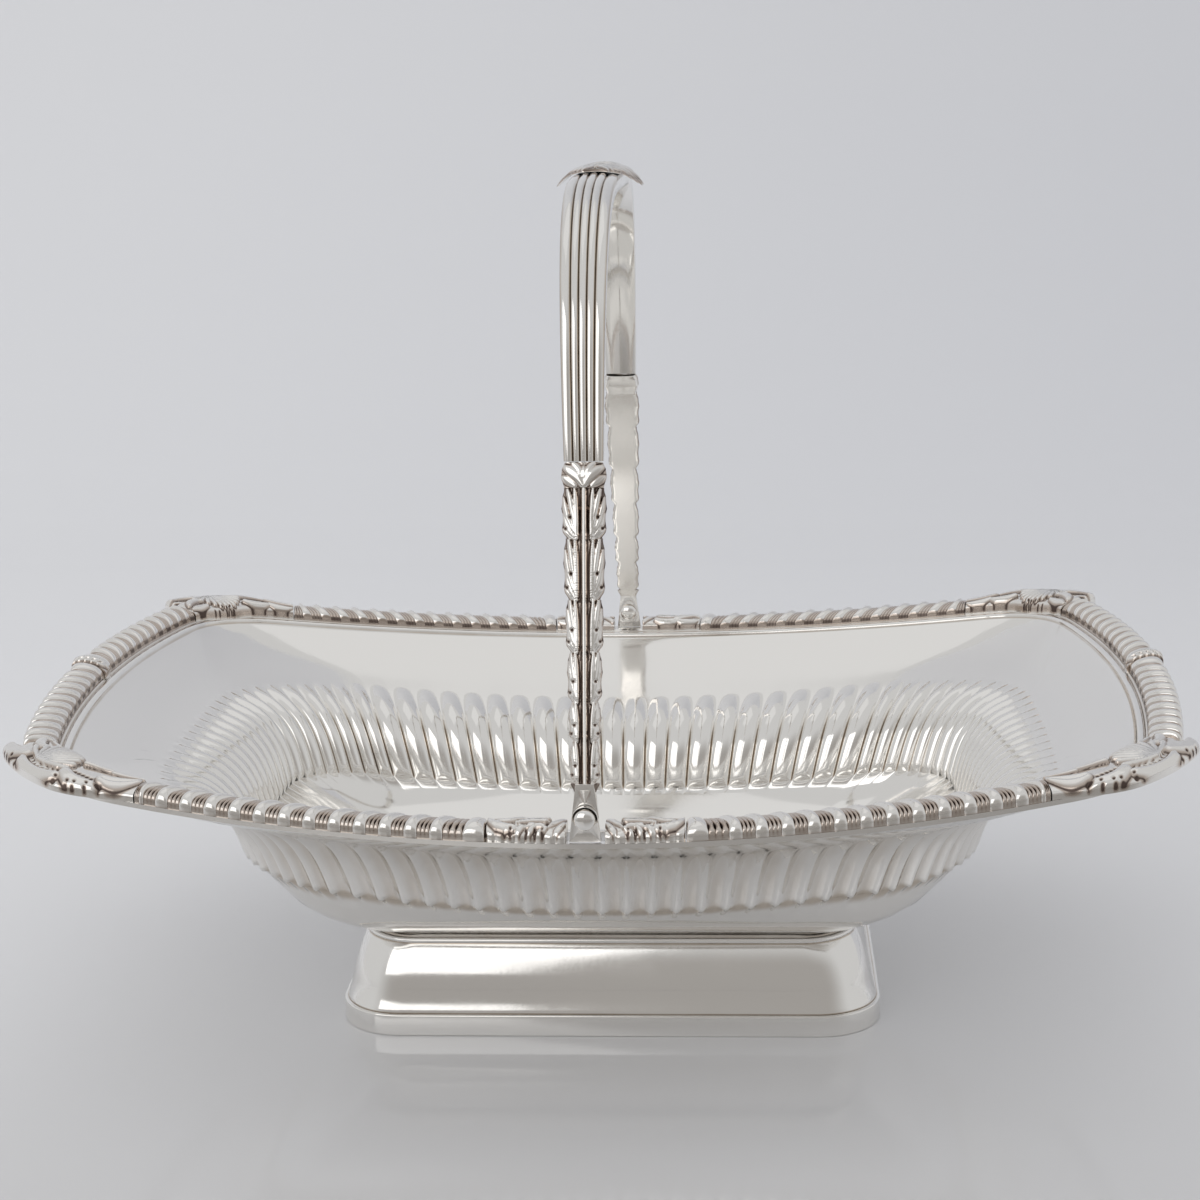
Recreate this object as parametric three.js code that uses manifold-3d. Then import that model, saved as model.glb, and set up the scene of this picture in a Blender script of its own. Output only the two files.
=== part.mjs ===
// Oblong silver basket with a fluted bowl, a gadroon border, a hollow foot and a swing handle.
// Millimetres, +Z up. X runs along the length, Y across, and the foot stands on Z = 0.
// The handle turns about the line through its two rivets, which lies along Y.
import * as THREE from "three";
import { mergeVertices } from "three/addons/utils/BufferGeometryUtils.js";
import Module from "manifold-3d";

// Clearances
const SEAT_GAP = 0.3; // between pieces that are soldered together
const RUNNING_GAP = 0.35; // between the handle's tongue and what it turns against

// Rim: the line under the middle of the border
const RIM_HALF_LENGTH = 172;
const RIM_HALF_WIDTH = 127;
const RIM_LONG_RADIUS = 700; // the long sides bow outwards
const RIM_END_RADIUS = 450;
const RIM_CORNER_RADIUS = 41;
const RIM_HEIGHT = 90.6; // seat of the border at the middle of a long side
const RIM_SADDLE = 15.2; // how much higher the seat is at the ends
const FILLET_WIDTH = 2.8; // plain strip beside the border
const FILLET_DROP = 0.6;
const FILLET_STEP = 1.1;

// Bowl
const SHEET = 1.4;
const WELL_HALF_LENGTH = 78;
const WELL_HALF_WIDTH = 42;
const WELL_CORNER = 17;
const WELL_HEIGHT = 31.6;
const BELLY_HALF_LENGTH = 93;
const BELLY_HALF_WIDTH = 56.5;
const BELLY_CORNER = 20;
const BELLY_HEIGHT = 38.1;
const BELLY_SADDLE = 5; // a saddle is how much higher a level would be at the rim's ends
const FLUTE_LONG_RADIUS = 1400;
const FLUTE_END_RADIUS = 800;
const FLUTE_FOOT_HALF_LENGTH = 117;
const FLUTE_FOOT_HALF_WIDTH = 67;
const FLUTE_FOOT_CORNER = 36;
const FLUTE_FOOT_HEIGHT = 44.4;
const FLUTE_FOOT_SADDLE = 25;
const FLUTE_TOP_HALF_LENGTH = 140.5;
const FLUTE_TOP_HALF_WIDTH = 87.6;
const FLUTE_TOP_CORNER = 48;
const FLUTE_TOP_HEIGHT = 71.8;
const FLUTE_TOP_SADDLE = 20.3;
const FLUTE_WAIST = 4.2; // how far the wall draws in, half way up its flutes
const FLANGE_HALF_LENGTH = 152.5;
const FLANGE_HALF_WIDTH = 104;
const FLANGE_CORNER = 44;
const FLANGE_LONG_RADIUS = 1000;
const FLANGE_END_RADIUS = 560;
const FLANGE_HEIGHT = 78.8;
const FLANGE_SADDLE = 17.4;
const FLUTE_DEPTH = 2.4;
const FLUTE_RIDGE_SHARE = 0.26; // from the ridge's crest to the edge of the hollow, in flute widths
const FLUTES_HALF_LONG_SIDE = 11;
const FLUTES_CORNER = 10;
const FLUTES_HALF_END = 5;
const FLUTE_FULL_FROM = 0.05; // share of the flutes' height at which they reach their full depth
const FLUTE_FULL_TO = 0.86; // share at which they start to run out
const STRAIGHT = 20000; // side radius of a plan whose sides are straight

// Foot
const FOOT_HALF_LENGTH = 86.4;
const FOOT_HALF_WIDTH = 51;
const FOOT_CORNER = 20;
const FOOT_BAND_HEIGHT = 7;
const FOOT_BAND_THICKNESS = 2.4;
const FOOT_WALL = 1.3;
const FOOT_STEP = 1; // the wall stands in from the face of the band
const FOOT_SHOULDER = 9.3; // how far the wall draws in above its flare, up to the bowl
const FOOT_SHOULDER_POWER = 1.65;
const FOOT_FLARE = 1.2; // how far the wall spreads again down to the band
const FOOT_FLARE_SHARE = 0.3; // of the wall's height
const FOOT_WALL_RINGS = 5;
const FOOT_CORNER_DRAW = 0.3; // how much of an inset the corner's radius gives up

// Border
const BORDER_WIDTH = 10.4;
const BORDER_HEIGHT = 4.8;
const LOBE_PITCH = 7;
const LOBE_SHARE = 0.5; // of the pitch, the rest is the bed of the reeds
const LOBE_SLANT = 0.42; // shift along the rim for each millimetre outwards
const BED_HEIGHT = 0.52; // of the border's height
const BED_SETBACK = 0.6; // how far the bed stays behind the lobes' outer tips
const LOBE_SETBACK = 0.3; // how far the lobes stay behind the border's inner edge
const LOBE_LIP = 0.4; // upright part of the outer edge, of the border's height
const BED_LIP = 0.24;
const DOME_INNER_SHOULDER = [0.55, 0.86]; // across and up, of the half width and the height
const DOME_OUTER_SHOULDER = [0.6, 0.84];
const BORDER_JOINT = 0.35; // open joint between neighbouring castings
const CENTRE_LEAF_START = 5.4;
const CENTRE_LEAF_END = 27.2;
const CENTRE_LEAF_RISE = 0.6;
const CENTRE_LEAF_HEIGHT = 0.95; // of the border's height, beside the lug
const CENTRE_LEAF_FALL = 0.25; // how much of it is gone at the far tip
const CENTRE_LEAF_CUTS = 9;
const CENTRE_LEAF_NOTCH = 0.14; // depth of a cut, of the width and the height
const CENTRE_LEAF_LIP = 0.2;
const SHELL_SIDE_REACH = 30; // along the rim from the middle of the corner, towards the long side
const SHELL_END_REACH = 16; // the same towards the end
const SHELL_OVERHANG = 7;
const SHELL_INNER_OVERHANG = 2.4;
const SHELL_SPREAD_FULL = 9; // from the middle of the corner, towards the long side
const SHELL_SPREAD_END = 11; // where the overhang starts to draw in, towards the end
const SHELL_RISE = 1.9;
const SHELL_RIBS = 9;
const SHELL_GROOVE = 0.18; // depth of a groove between ribs, of the width and the height
const SHELL_LIP = 0.26;
const END_BAND_HALF_WIDTH = 2.7;
const END_BAND_OVERHANG = 1;
const END_BAND_RISE = 1.1;
const END_BAND_TAPER = 0.3; // how much lower and narrower its edges are
const END_BAND_INNER_SHARE = 0.5;
const END_BAND_LIP = 0.3;

// Hinges
const PIN_ABOVE_SEAT = 6.6; // rivets' height over the seat of the border
const PIN_RADIUS = 1.4;
const PIN_HEAD_RADIUS = 3;
const PIN_HEAD_DOME = 1.7;
const PIN_DOME_RINGS = 3;
const LUG_THICKNESS = 2;
const LUG_SETBACK = 0.8; // outer face of the lug, in from the rim's edge
const LUG_BASE_HALF_WIDTH = 4.4;
const LUG_TOP_RADIUS = 3.6;
const TONGUE_THICKNESS = 2.6;
const TONGUE_RADIUS = 3.7;

// Handle
const HANDLE_HEIGHT = 170.2; // from the rivets to the top of the bow's outer face
const BOW_HALF_SPAN = 107;
const BOW_POWER = 4.3; // squareness of the bow's shoulders
const BOW_FOOT = 94.5; // above the rivets
const BOW_FOOT_WIDTH = 11;
const BOW_CROWN_WIDTH = 15;
const BOW_THICKNESS = 4.4;
const BOW_STATIONS = 26;
const BOW_CURVE_POINTS = 80; // points that the bow's curve is drawn through
const REEDS = 5;
const REED_HEIGHT = 1.1;
const REED_EDGE_HEIGHT = 1; // of the outermost reeds, down to the strap's edge
const REED_FLANK = 0.25; // of a reed's width, from its groove to its flat crest
const COLLAR_LENGTH = 6.6;
const COLLAR_WIDTH = 12.8;
const COLLAR_THICKNESS = 5.6;
const COLLAR_CHAMFER = 1.2;
const COLLAR_SWELL = 0.14; // how much of its width and height its ends lose
const COLLAR_STATIONS = 4;
const ARM_FOOT = 7.2; // above the rivets, where the tongue ends and the leaf starts
const ARM_FOOT_WIDTH = 8;
const ARM_TOP_WIDTH = 13.4;
const ARM_THICKNESS = 3.2;
const ARM_LEAF_TIERS = 5;
const ARM_LEAF_NOTCH = 0.8;
const ARM_RIB_HEIGHT = 0.9;
const ARM_RIB_SHARE = 0.22; // half width of the rib's foot, of the arm's half width
const ARM_LEAF_CREST_SHARE = 0.55; // where each leaf is highest
const ARM_LEAF_CREST_DROP = 0.4; // below the rib's crest, of the rib's height
const ARM_VALLEY = 0.9; // depth beside the rib at a leaf's tip, of the rib's height
const ARM_NOTCH_VALLEY = 1.3; // the same between two tiers
const ARM_LEAF_TIP = 0.86; // where a tier is widest, of the tier's length
const ARM_FOOT_NOTCH = 0.4;
const ARM_NECK_OVERLAP = 0.6; // how far the tongue's neck runs up behind the leaf, of its thickness
const CROWN_LEAF_HALF_LENGTH = 27;
const CROWN_LEAF_HALF_WIDTH = 13;
const CROWN_LEAF_THICKNESS = 1.6;
const CROWN_LEAF_DROOP = 3.2;
const CROWN_LEAF_CUTS = 12;
const CROWN_LEAF_NOTCH = 0.12;
const CROWN_LEAF_TAPER = 0.72; // how much of its half width is gone at the tips
const CROWN_LEAF_TAPER_POWER = 2.2;
const CROWN_LEAF_TIP = 0.5;
const CROWN_LEAF_BEND_SHARE = 0.7; // of the half width, where the leaf is narrower than the bow
const CROWN_LEAF_CURL = 1.5; // power of the droop's curve

const FRONT = -1;
const BACK = 1;
const ROUND_SIDES = 16;

const polishedSilver = () =>
  new THREE.MeshStandardMaterial({ color: 0xdedcd8, roughness: 0.16, metalness: 1 });
const castSilver = () =>
  new THREE.MeshStandardMaterial({ color: 0xcfcac2, roughness: 0.3, metalness: 1 });

const wasm = await Module();
wasm.setup();

// A quarter of a rounded rectangle whose two sides and corner are arcs that meet smoothly.
// It runs from the middle of the long side (0, halfWidth) to the middle of the end (halfLength, 0).
function makePlan(halfLength, halfWidth, cornerRadius, longRadius = STRAIGHT, endRadius = STRAIGHT) {
  const longCentre = new THREE.Vector2(0, halfWidth - longRadius);
  const endCentre = new THREE.Vector2(halfLength - endRadius, 0);
  const toLong = longRadius - cornerRadius;
  const toEnd = endRadius - cornerRadius;
  const between = endCentre.clone().sub(longCentre);
  const span = between.length();
  const along = (toLong ** 2 - toEnd ** 2 + span ** 2) / (2 * span);
  const aside = Math.sqrt(toLong ** 2 - along ** 2);
  const unit = between.normalize();
  const corner = new THREE.Vector2(
    longCentre.x + unit.x * along + unit.y * aside,
    longCentre.y + unit.y * along - unit.x * aside,
  );
  const longAngle = Math.atan2(corner.x - longCentre.x, corner.y - longCentre.y);
  const endAngle = Math.PI / 2 - Math.atan2(corner.y - endCentre.y, corner.x - endCentre.x);
  const arc = (centre, radius, from, to) => ({
    length: radius * (to - from),
    at(share) {
      const angle = from + (to - from) * share;
      const normal = new THREE.Vector2(Math.sin(angle), Math.cos(angle));
      return { point: normal.clone().multiplyScalar(radius).add(centre), normal };
    },
  });
  const arcs = [
    arc(longCentre, longRadius, 0, longAngle),
    arc(corner, cornerRadius, longAngle, endAngle),
    arc(endCentre, endRadius, endAngle, Math.PI / 2),
  ];
  return { arcs, length: arcs.reduce((sum, a) => sum + a.length, 0) };
}

// The point of a quarter plan at a distance along it.
function planAtDistance(plan, distance) {
  let rest = distance;
  for (const arc of plan.arcs.slice(0, -1)) {
    if (rest <= arc.length) return arc.at(rest / arc.length);
    rest -= arc.length;
  }
  const last = plan.arcs.at(-1);
  return last.at(rest / last.length);
}

// The point of a quarter plan at a number of flutes from the middle of the long side.
const FLUTE_COUNTS = [FLUTES_HALF_LONG_SIDE, FLUTES_CORNER, FLUTES_HALF_END];
const FLUTES_QUARTER = FLUTES_HALF_LONG_SIDE + FLUTES_CORNER + FLUTES_HALF_END;
function planAtFlute(plan, flute) {
  let rest = flute;
  for (let i = 0; i < 2; i++) {
    if (rest <= FLUTE_COUNTS[i]) return plan.arcs[i].at(rest / FLUTE_COUNTS[i]);
    rest -= FLUTE_COUNTS[i];
  }
  return plan.arcs[2].at(rest / FLUTE_COUNTS[2]);
}

// Turns a quarter plan into the whole outline, from the front middle towards +X.
// `at` gives the quarter's point for a length between 0 and `quarter`.
function aroundPlan(at, quarter, length) {
  const turn = ((length % (4 * quarter)) + 4 * quarter) % (4 * quarter);
  const index = Math.min(3, Math.floor(turn / quarter));
  const part = turn - index * quarter;
  const { point, normal } = at(index % 2 === 0 ? part : quarter - part);
  const sx = index < 2 ? 1 : -1;
  const sy = index === 0 || index === 3 ? -1 : 1;
  return {
    point: new THREE.Vector2(point.x * sx, point.y * sy),
    normal: new THREE.Vector2(normal.x * sx, normal.y * sy),
  };
}

// A mesh geometry from a list of points and triangles, turned to face out.
function closedGeometry(points, triangles) {
  let volume = 0;
  for (const [a, b, c] of triangles) {
    volume += points[a].dot(points[b].clone().cross(points[c]));
  }
  const index = triangles.flatMap(([a, b, c]) => (volume < 0 ? [a, c, b] : [a, b, c]));
  const geometry = new THREE.BufferGeometry();
  geometry.setAttribute("position", new THREE.Float32BufferAttribute(points.flatMap((p) => p.toArray()), 3));
  geometry.setIndex(index);
  geometry.computeVertexNormals();
  return geometry;
}

// Joins a stack of rings into a skin. A ring may have a whole number of times the points of the next.
function skinRings(rings, closeLoop = false) {
  const points = rings.flat();
  const starts = [];
  let start = 0;
  for (const ring of rings) {
    starts.push(start);
    start += ring.length;
  }
  const triangles = [];
  const join = (i, j) => {
    const fine = rings[i].length >= rings[j].length ? i : j;
    const coarse = fine === i ? j : i;
    const ratio = rings[fine].length / rings[coarse].length;
    const flip = fine !== i;
    const add = (a, b, c) => triangles.push(flip ? [a, c, b] : [a, b, c]);
    for (let k = 0; k < rings[coarse].length; k++) {
      const c0 = starts[coarse] + k;
      const c1 = starts[coarse] + ((k + 1) % rings[coarse].length);
      const f = (n) => starts[fine] + ((k * ratio + n) % rings[fine].length);
      const middle = Math.ceil(ratio / 2);
      for (let n = 0; n < ratio; n++) {
        add(f(n), f(n + 1), n < middle ? c0 : c1);
      }
      add(f(middle), c1, c0);
    }
  };
  for (let i = 0; i + 1 < rings.length; i++) join(i, i + 1);
  if (closeLoop) join(rings.length - 1, 0);
  return { points, triangles, starts };
}

// A solid swept through sections that all have the same number of points.
// `place` turns a station's distance and a section point [across, up, shift] into a Vector3.
function sweep(place, stations) {
  const rings = stations.map(({ at, section }) => section.map((p) => place(at, ...p)));
  const { points, triangles, starts } = skinRings(rings);
  const cap = (ring, sign) => {
    const outline = stations[ring].section.map(([u, v]) => new THREE.Vector2(u, v));
    const turn = sign * Math.sign(THREE.ShapeUtils.area(outline));
    for (const face of THREE.ShapeUtils.triangulateShape(outline, [])) {
      const area = THREE.ShapeUtils.area(face.map((n) => outline[n]));
      const [a, b, c] = face.map((n) => n + starts[ring]);
      triangles.push(area * turn > 0 ? [a, b, c] : [a, c, b]);
    }
  };
  cap(0, -1);
  cap(stations.length - 1, 1);
  return closedGeometry(points, triangles);
}

// Joining and cutting
function toSolid(geometry) {
  const bare = geometry.clone();
  bare.deleteAttribute("normal");
  bare.deleteAttribute("uv");
  const merged = mergeVertices(bare);
  return new wasm.Manifold(
    new wasm.Mesh({
      numProp: 3,
      vertProperties: merged.attributes.position.array,
      triVerts: new Uint32Array(merged.index.array),
    }),
  );
}

function toGeometry(solid) {
  const mesh = solid.getMesh();
  const geometry = new THREE.BufferGeometry();
  geometry.setAttribute("position", new THREE.BufferAttribute(mesh.vertProperties, 3));
  geometry.setIndex(new THREE.BufferAttribute(mesh.triVerts, 1));
  geometry.computeVertexNormals();
  return geometry;
}

// A round bar along Y.
function barAlongY(radius, from, to) {
  const geometry = new THREE.CylinderGeometry(radius, radius, to - from, ROUND_SIDES);
  geometry.translate(0, (from + to) / 2, 0);
  return geometry;
}

const rimPlan = makePlan(
  RIM_HALF_LENGTH,
  RIM_HALF_WIDTH,
  RIM_CORNER_RADIUS,
  RIM_LONG_RADIUS,
  RIM_END_RADIUS,
);
const offsetRimPlan = (offset) =>
  makePlan(
    RIM_HALF_LENGTH + offset,
    RIM_HALF_WIDTH + offset,
    RIM_CORNER_RADIUS + offset,
    RIM_LONG_RADIUS + offset,
    RIM_END_RADIUS + offset,
  );
const saddleShare = (x) => (x / RIM_HALF_LENGTH) ** 2;
const seatHeight = (x) => RIM_HEIGHT + RIM_SADDLE * saddleShare(x);

// Bowl: one sheet, from the flat of the well out to the edge under the border.
// Each level has a plan, a height at the middle of the long side and a rise towards the ends.
const level = (size, height, saddle = 0, depth = 0) => ({
  plan: makePlan(...size),
  halfWidth: size[1],
  height,
  saddle,
  depth,
});

function bowlLevels() {
  const foot = [FLUTE_FOOT_HALF_LENGTH, FLUTE_FOOT_HALF_WIDTH, FLUTE_FOOT_CORNER];
  const top = [FLUTE_TOP_HALF_LENGTH, FLUTE_TOP_HALF_WIDTH, FLUTE_TOP_CORNER];
  const { lerp } = THREE.MathUtils;
  const flange = [
    FLANGE_HALF_LENGTH,
    FLANGE_HALF_WIDTH,
    FLANGE_CORNER,
    FLANGE_LONG_RADIUS,
    FLANGE_END_RADIUS,
  ];
  const wall = (share, depth) => {
    const waist = FLUTE_WAIST * Math.sin(Math.PI * share);
    const size = foot.map((value, i) => lerp(value, top[i], share) - waist);
    return level(
      [...size, FLUTE_LONG_RADIUS, FLUTE_END_RADIUS],
      lerp(FLUTE_FOOT_HEIGHT, FLUTE_TOP_HEIGHT, share) + waist,
      lerp(FLUTE_FOOT_SADDLE, FLUTE_TOP_SADDLE, share),
      depth,
    );
  };
  return [
    level([WELL_HALF_LENGTH, WELL_HALF_WIDTH, WELL_CORNER], WELL_HEIGHT),
    level([BELLY_HALF_LENGTH, BELLY_HALF_WIDTH, BELLY_CORNER], BELLY_HEIGHT, BELLY_SADDLE),
    wall(0, 0),
    wall(FLUTE_FULL_FROM, FLUTE_DEPTH),
    wall((FLUTE_FULL_FROM + FLUTE_FULL_TO) / 2, FLUTE_DEPTH),
    wall(FLUTE_FULL_TO, FLUTE_DEPTH),
    wall(1, 0),
    level(flange, FLANGE_HEIGHT, FLANGE_SADDLE),
  ];
}

// The sheet's slope at each level, between those of the stretches below and above it.
function sheetSlopes(levels, rim) {
  const stretches = [0];
  [...levels.slice(1), rim].forEach((next, i) => {
    stretches.push(Math.atan2(next.height - levels[i].height, next.halfWidth - levels[i].halfWidth));
  });
  return levels.map((_, i) => (stretches[i] + stretches[i + 1]) / 2);
}

const FLUTES = 4 * FLUTES_QUARTER;

// A ring of the bowl. `inward` and `up` move it off the level, for the other face of the sheet.
function bowlRing(at, inward = 0, up = 0) {
  const fluted = at.depth > 0;
  const shares = fluted ? [0, FLUTE_RIDGE_SHARE, 1 - FLUTE_RIDGE_SHARE] : [0];
  const step = fluted ? 1 : 2;
  const ring = [];
  for (let flute = 0; flute < FLUTES; flute += step) {
    for (const share of shares) {
      const { point, normal } = aroundPlan((f) => planAtFlute(at.plan, f), FLUTES_QUARTER, flute + share);
      const depth = (share === 0 ? 0 : at.depth) * Math.SQRT1_2;
      const x = point.x - normal.x * (inward + depth);
      const y = point.y - normal.y * (inward + depth);
      ring.push(new THREE.Vector3(x, y, at.height + at.saddle * saddleShare(point.x) + up + depth));
    }
  }
  return ring;
}

function bowlGeometry() {
  const rimLevel = (offset, height) => ({
    plan: offsetRimPlan(offset),
    halfWidth: RIM_HALF_WIDTH + offset,
    height,
    saddle: RIM_SADDLE,
    depth: 0,
  });
  const edge = BORDER_WIDTH / 2;
  const filletEdge = -edge - FILLET_WIDTH;
  const filletFoot = RIM_HEIGHT - FILLET_DROP - FILLET_STEP;
  const under = rimLevel(filletEdge, filletFoot - SHEET);
  const rim = [
    rimLevel(edge, RIM_HEIGHT - SHEET),
    rimLevel(edge, RIM_HEIGHT),
    rimLevel(-edge, RIM_HEIGHT),
    rimLevel(filletEdge, RIM_HEIGHT - FILLET_DROP),
    rimLevel(filletEdge - FILLET_DROP, filletFoot),
  ];
  const levels = bowlLevels();
  const slopes = sheetSlopes(levels, under);
  const outside = [...levels, under, ...rim].map((at) => bowlRing(at));
  const inside = levels.map((at, i) => bowlRing(at, SHEET * Math.sin(slopes[i]), SHEET * Math.cos(slopes[i])));
  const rings = [...outside, ...inside.reverse()];
  const { points, triangles, starts } = skinRings(rings);
  const closeCentre = (ring, reverse) => {
    const centre = points.push(new THREE.Vector3(0, 0, rings[ring][0].z)) - 1;
    const count = rings[ring].length;
    for (let k = 0; k < count; k++) {
      const a = starts[ring] + k;
      const b = starts[ring] + ((k + 1) % count);
      triangles.push(reverse ? [centre, b, a] : [centre, a, b]);
    }
  };
  closeCentre(0, true);
  closeCentre(rings.length - 1, false);
  return closedGeometry(points, triangles);
}

// Foot: a wall with rounded shoulders that flares down to an upright band, both open in the middle.
function footRing(inset, height) {
  const size = [FOOT_HALF_LENGTH - inset, FOOT_HALF_WIDTH - inset, FOOT_CORNER - inset * FOOT_CORNER_DRAW];
  return bowlRing(level(size, height));
}

function footWallGeometry() {
  const foot = FOOT_BAND_HEIGHT + SEAT_GAP;
  const head = WELL_HEIGHT - SEAT_GAP;
  const outer = [];
  const inner = [];
  for (let i = 0; i <= FOOT_WALL_RINGS; i++) {
    const angle = (Math.PI / 2) * (i / FOOT_WALL_RINGS);
    const rise = Math.sin(angle) ** (2 / FOOT_SHOULDER_POWER);
    const draw = 1 - Math.cos(angle) ** (2 / FOOT_SHOULDER_POWER);
    const aboveFlare = 1 - Math.max(0, 1 - rise / FOOT_FLARE_SHARE) ** 2;
    const inset = FOOT_STEP + FOOT_FLARE * aboveFlare + FOOT_SHOULDER * draw;
    outer.push(footRing(inset, foot + (head - foot) * rise));
    inner.push(footRing(inset + FOOT_WALL, foot + (head - FOOT_WALL - foot) * rise));
  }
  const { points, triangles } = skinRings([...outer, ...inner.reverse()], true);
  return closedGeometry(points, triangles);
}

function footBandGeometry() {
  const rings = [
    footRing(0, 0),
    footRing(0, FOOT_BAND_HEIGHT - FOOT_STEP / 2),
    footRing(FOOT_STEP / 2, FOOT_BAND_HEIGHT),
    footRing(FOOT_STEP + FOOT_BAND_THICKNESS, FOOT_BAND_HEIGHT),
    footRing(FOOT_STEP + FOOT_BAND_THICKNESS, 0),
  ];
  const { points, triangles } = skinRings(rings, true);
  return closedGeometry(points, triangles);
}

// Border: castings that lie along the rim. `across` is positive outwards, `up` starts at the seat.
function placeOnRim(distance, across, up, shift = 0) {
  const { point, normal } = aroundPlan((s) => planAtDistance(rimPlan, s), rimPlan.length, distance + shift);
  const x = point.x + normal.x * across;
  const y = point.y + normal.y * across;
  return new THREE.Vector3(x, y, seatHeight(x) + SEAT_GAP + up);
}

// A domed section from the inner edge over the top to the outer edge.
function domedSection(inner, outer, height, lip, shift = () => 0) {
  const crown = [
    [-inner, 0],
    [-inner, lip],
    [-inner * DOME_INNER_SHOULDER[0], height * DOME_INNER_SHOULDER[1]],
    [0, height],
    [outer * DOME_OUTER_SHOULDER[0], height * DOME_OUTER_SHOULDER[1]],
    [outer, lip],
    [outer, 0],
  ];
  return crown.map(([u, v]) => [u, v, shift(u)]);
}

// A run of slanted lobes with a lower bed between each two.
function gadroonRun(from, to) {
  const length = Math.abs(to - from);
  const direction = Math.sign(to - from);
  const lobes = Math.max(1, Math.round(length / LOBE_PITCH));
  const pitch = length / lobes;
  const half = BORDER_WIDTH / 2;
  const stations = [];
  const add = (part, height, width, lip) => {
    const squareEnds = Math.min(1, part / pitch, (length - part) / pitch);
    const slant = direction * LOBE_SLANT * squareEnds;
    stations.push({
      at: from + direction * part,
      section: domedSection(half - LOBE_SETBACK, width, height, lip * BORDER_HEIGHT, (u) => slant * (u + half)),
    });
  };
  const addBed = (part) => add(part, BORDER_HEIGHT * BED_HEIGHT, half - BED_SETBACK, BED_LIP);
  for (let lobe = 0; lobe < lobes; lobe++) {
    const start = lobe * pitch;
    addBed(start);
    add(start + (pitch * LOBE_SHARE) / 2, BORDER_HEIGHT, half, LOBE_LIP);
    addBed(start + pitch * LOBE_SHARE);
  }
  addBed(length);
  return sweep(placeOnRim, stations);
}

// A leaf that grows wider and higher towards the lug, with its edge cut into lobes.
function centreLeaf(from, to) {
  const half = BORDER_WIDTH / 2;
  const stations = [];
  for (let i = 0; i <= CENTRE_LEAF_CUTS; i++) {
    const share = i / CENTRE_LEAF_CUTS;
    const notch = i % 2 === 0 ? 1 - CENTRE_LEAF_NOTCH : 1;
    const shape = CENTRE_LEAF_HEIGHT - CENTRE_LEAF_FALL * share ** 2;
    const height = (BORDER_HEIGHT * shape + CENTRE_LEAF_RISE * (1 - share)) * notch;
    stations.push({
      at: THREE.MathUtils.lerp(from, to, share),
      section: domedSection(half, half * notch, height, BORDER_HEIGHT * CENTRE_LEAF_LIP),
    });
  }
  return sweep(placeOnRim, stations);
}

// A ribbed shell with a raised fringe that hangs over the corner, with a longer leaf along the side.
// `towardsEnd` is 1 where the end lies at growing distances along the rim, and -1 where the side does.
function cornerShell(middle, towardsEnd) {
  const half = BORDER_WIDTH / 2;
  const steps = 2 * SHELL_RIBS;
  const { lerp, smoothstep } = THREE.MathUtils;
  const stations = [];
  for (let i = 0; i <= steps; i++) {
    const along = lerp(-SHELL_SIDE_REACH, SHELL_END_REACH, i / steps);
    const grown = smoothstep(along, -SHELL_SIDE_REACH, -SHELL_SPREAD_FULL);
    const spread = grown * (1 - smoothstep(along, SHELL_SPREAD_END, SHELL_END_REACH));
    const rib = i % 2 === 0 ? 1 : 1 - SHELL_GROOVE;
    stations.push({
      at: middle + along * towardsEnd,
      section: domedSection(
        half + SHELL_INNER_OVERHANG * spread,
        half + SHELL_OVERHANG * spread * rib,
        (BORDER_HEIGHT + SHELL_RISE * spread) * rib,
        BORDER_HEIGHT * SHELL_LIP,
      ),
    });
  }
  return sweep(placeOnRim, stations);
}

// A narrow strap across the border, highest along its middle.
function endBand(middle) {
  const half = BORDER_WIDTH / 2;
  const stations = [-1, -0.5, 0, 0.5, 1].map((share) => {
    const swell = 1 - END_BAND_TAPER * share ** 2;
    return {
      at: middle + END_BAND_HALF_WIDTH * share,
      section: domedSection(
        half + END_BAND_OVERHANG * swell * END_BAND_INNER_SHARE,
        half + END_BAND_OVERHANG * swell,
        (BORDER_HEIGHT + END_BAND_RISE) * swell,
        BORDER_HEIGHT * END_BAND_LIP,
      ),
    };
  });
  return sweep(placeOnRim, stations);
}

// Hinges: a plate on the rim's edge, and a rivet that holds the handle's tongue against its inner face.
const pinHeight = RIM_HEIGHT + PIN_ABOVE_SEAT;
const lugOuterFace = RIM_HALF_WIDTH + BORDER_WIDTH / 2 - LUG_SETBACK;
const lugInnerFace = lugOuterFace - LUG_THICKNESS;
const tongueOuterFace = lugInnerFace - RUNNING_GAP;
const tongueInnerFace = tongueOuterFace - TONGUE_THICKNESS;
const lugFoot = SEAT_GAP - PIN_ABOVE_SEAT;

function lugGeometry(side) {
  const lean = Math.asin((LUG_BASE_HALF_WIDTH - LUG_TOP_RADIUS) / Math.hypot(lugFoot, LUG_BASE_HALF_WIDTH));
  const outline = new THREE.Shape();
  outline.moveTo(-LUG_BASE_HALF_WIDTH, lugFoot);
  outline.lineTo(LUG_BASE_HALF_WIDTH, lugFoot);
  outline.absarc(0, 0, LUG_TOP_RADIUS, lean, Math.PI - lean, false);
  outline.closePath();
  const hole = new THREE.Path();
  hole.absarc(0, 0, PIN_RADIUS + SEAT_GAP, 0, 2 * Math.PI, true);
  outline.holes.push(hole);
  const geometry = new THREE.ExtrudeGeometry(outline, {
    depth: LUG_THICKNESS,
    bevelEnabled: false,
    curveSegments: ROUND_SIDES / 2,
  });
  geometry.rotateX(Math.PI / 2);
  geometry.translate(0, side === FRONT ? -lugInnerFace : lugOuterFace, pinHeight);
  return geometry;
}

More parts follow.
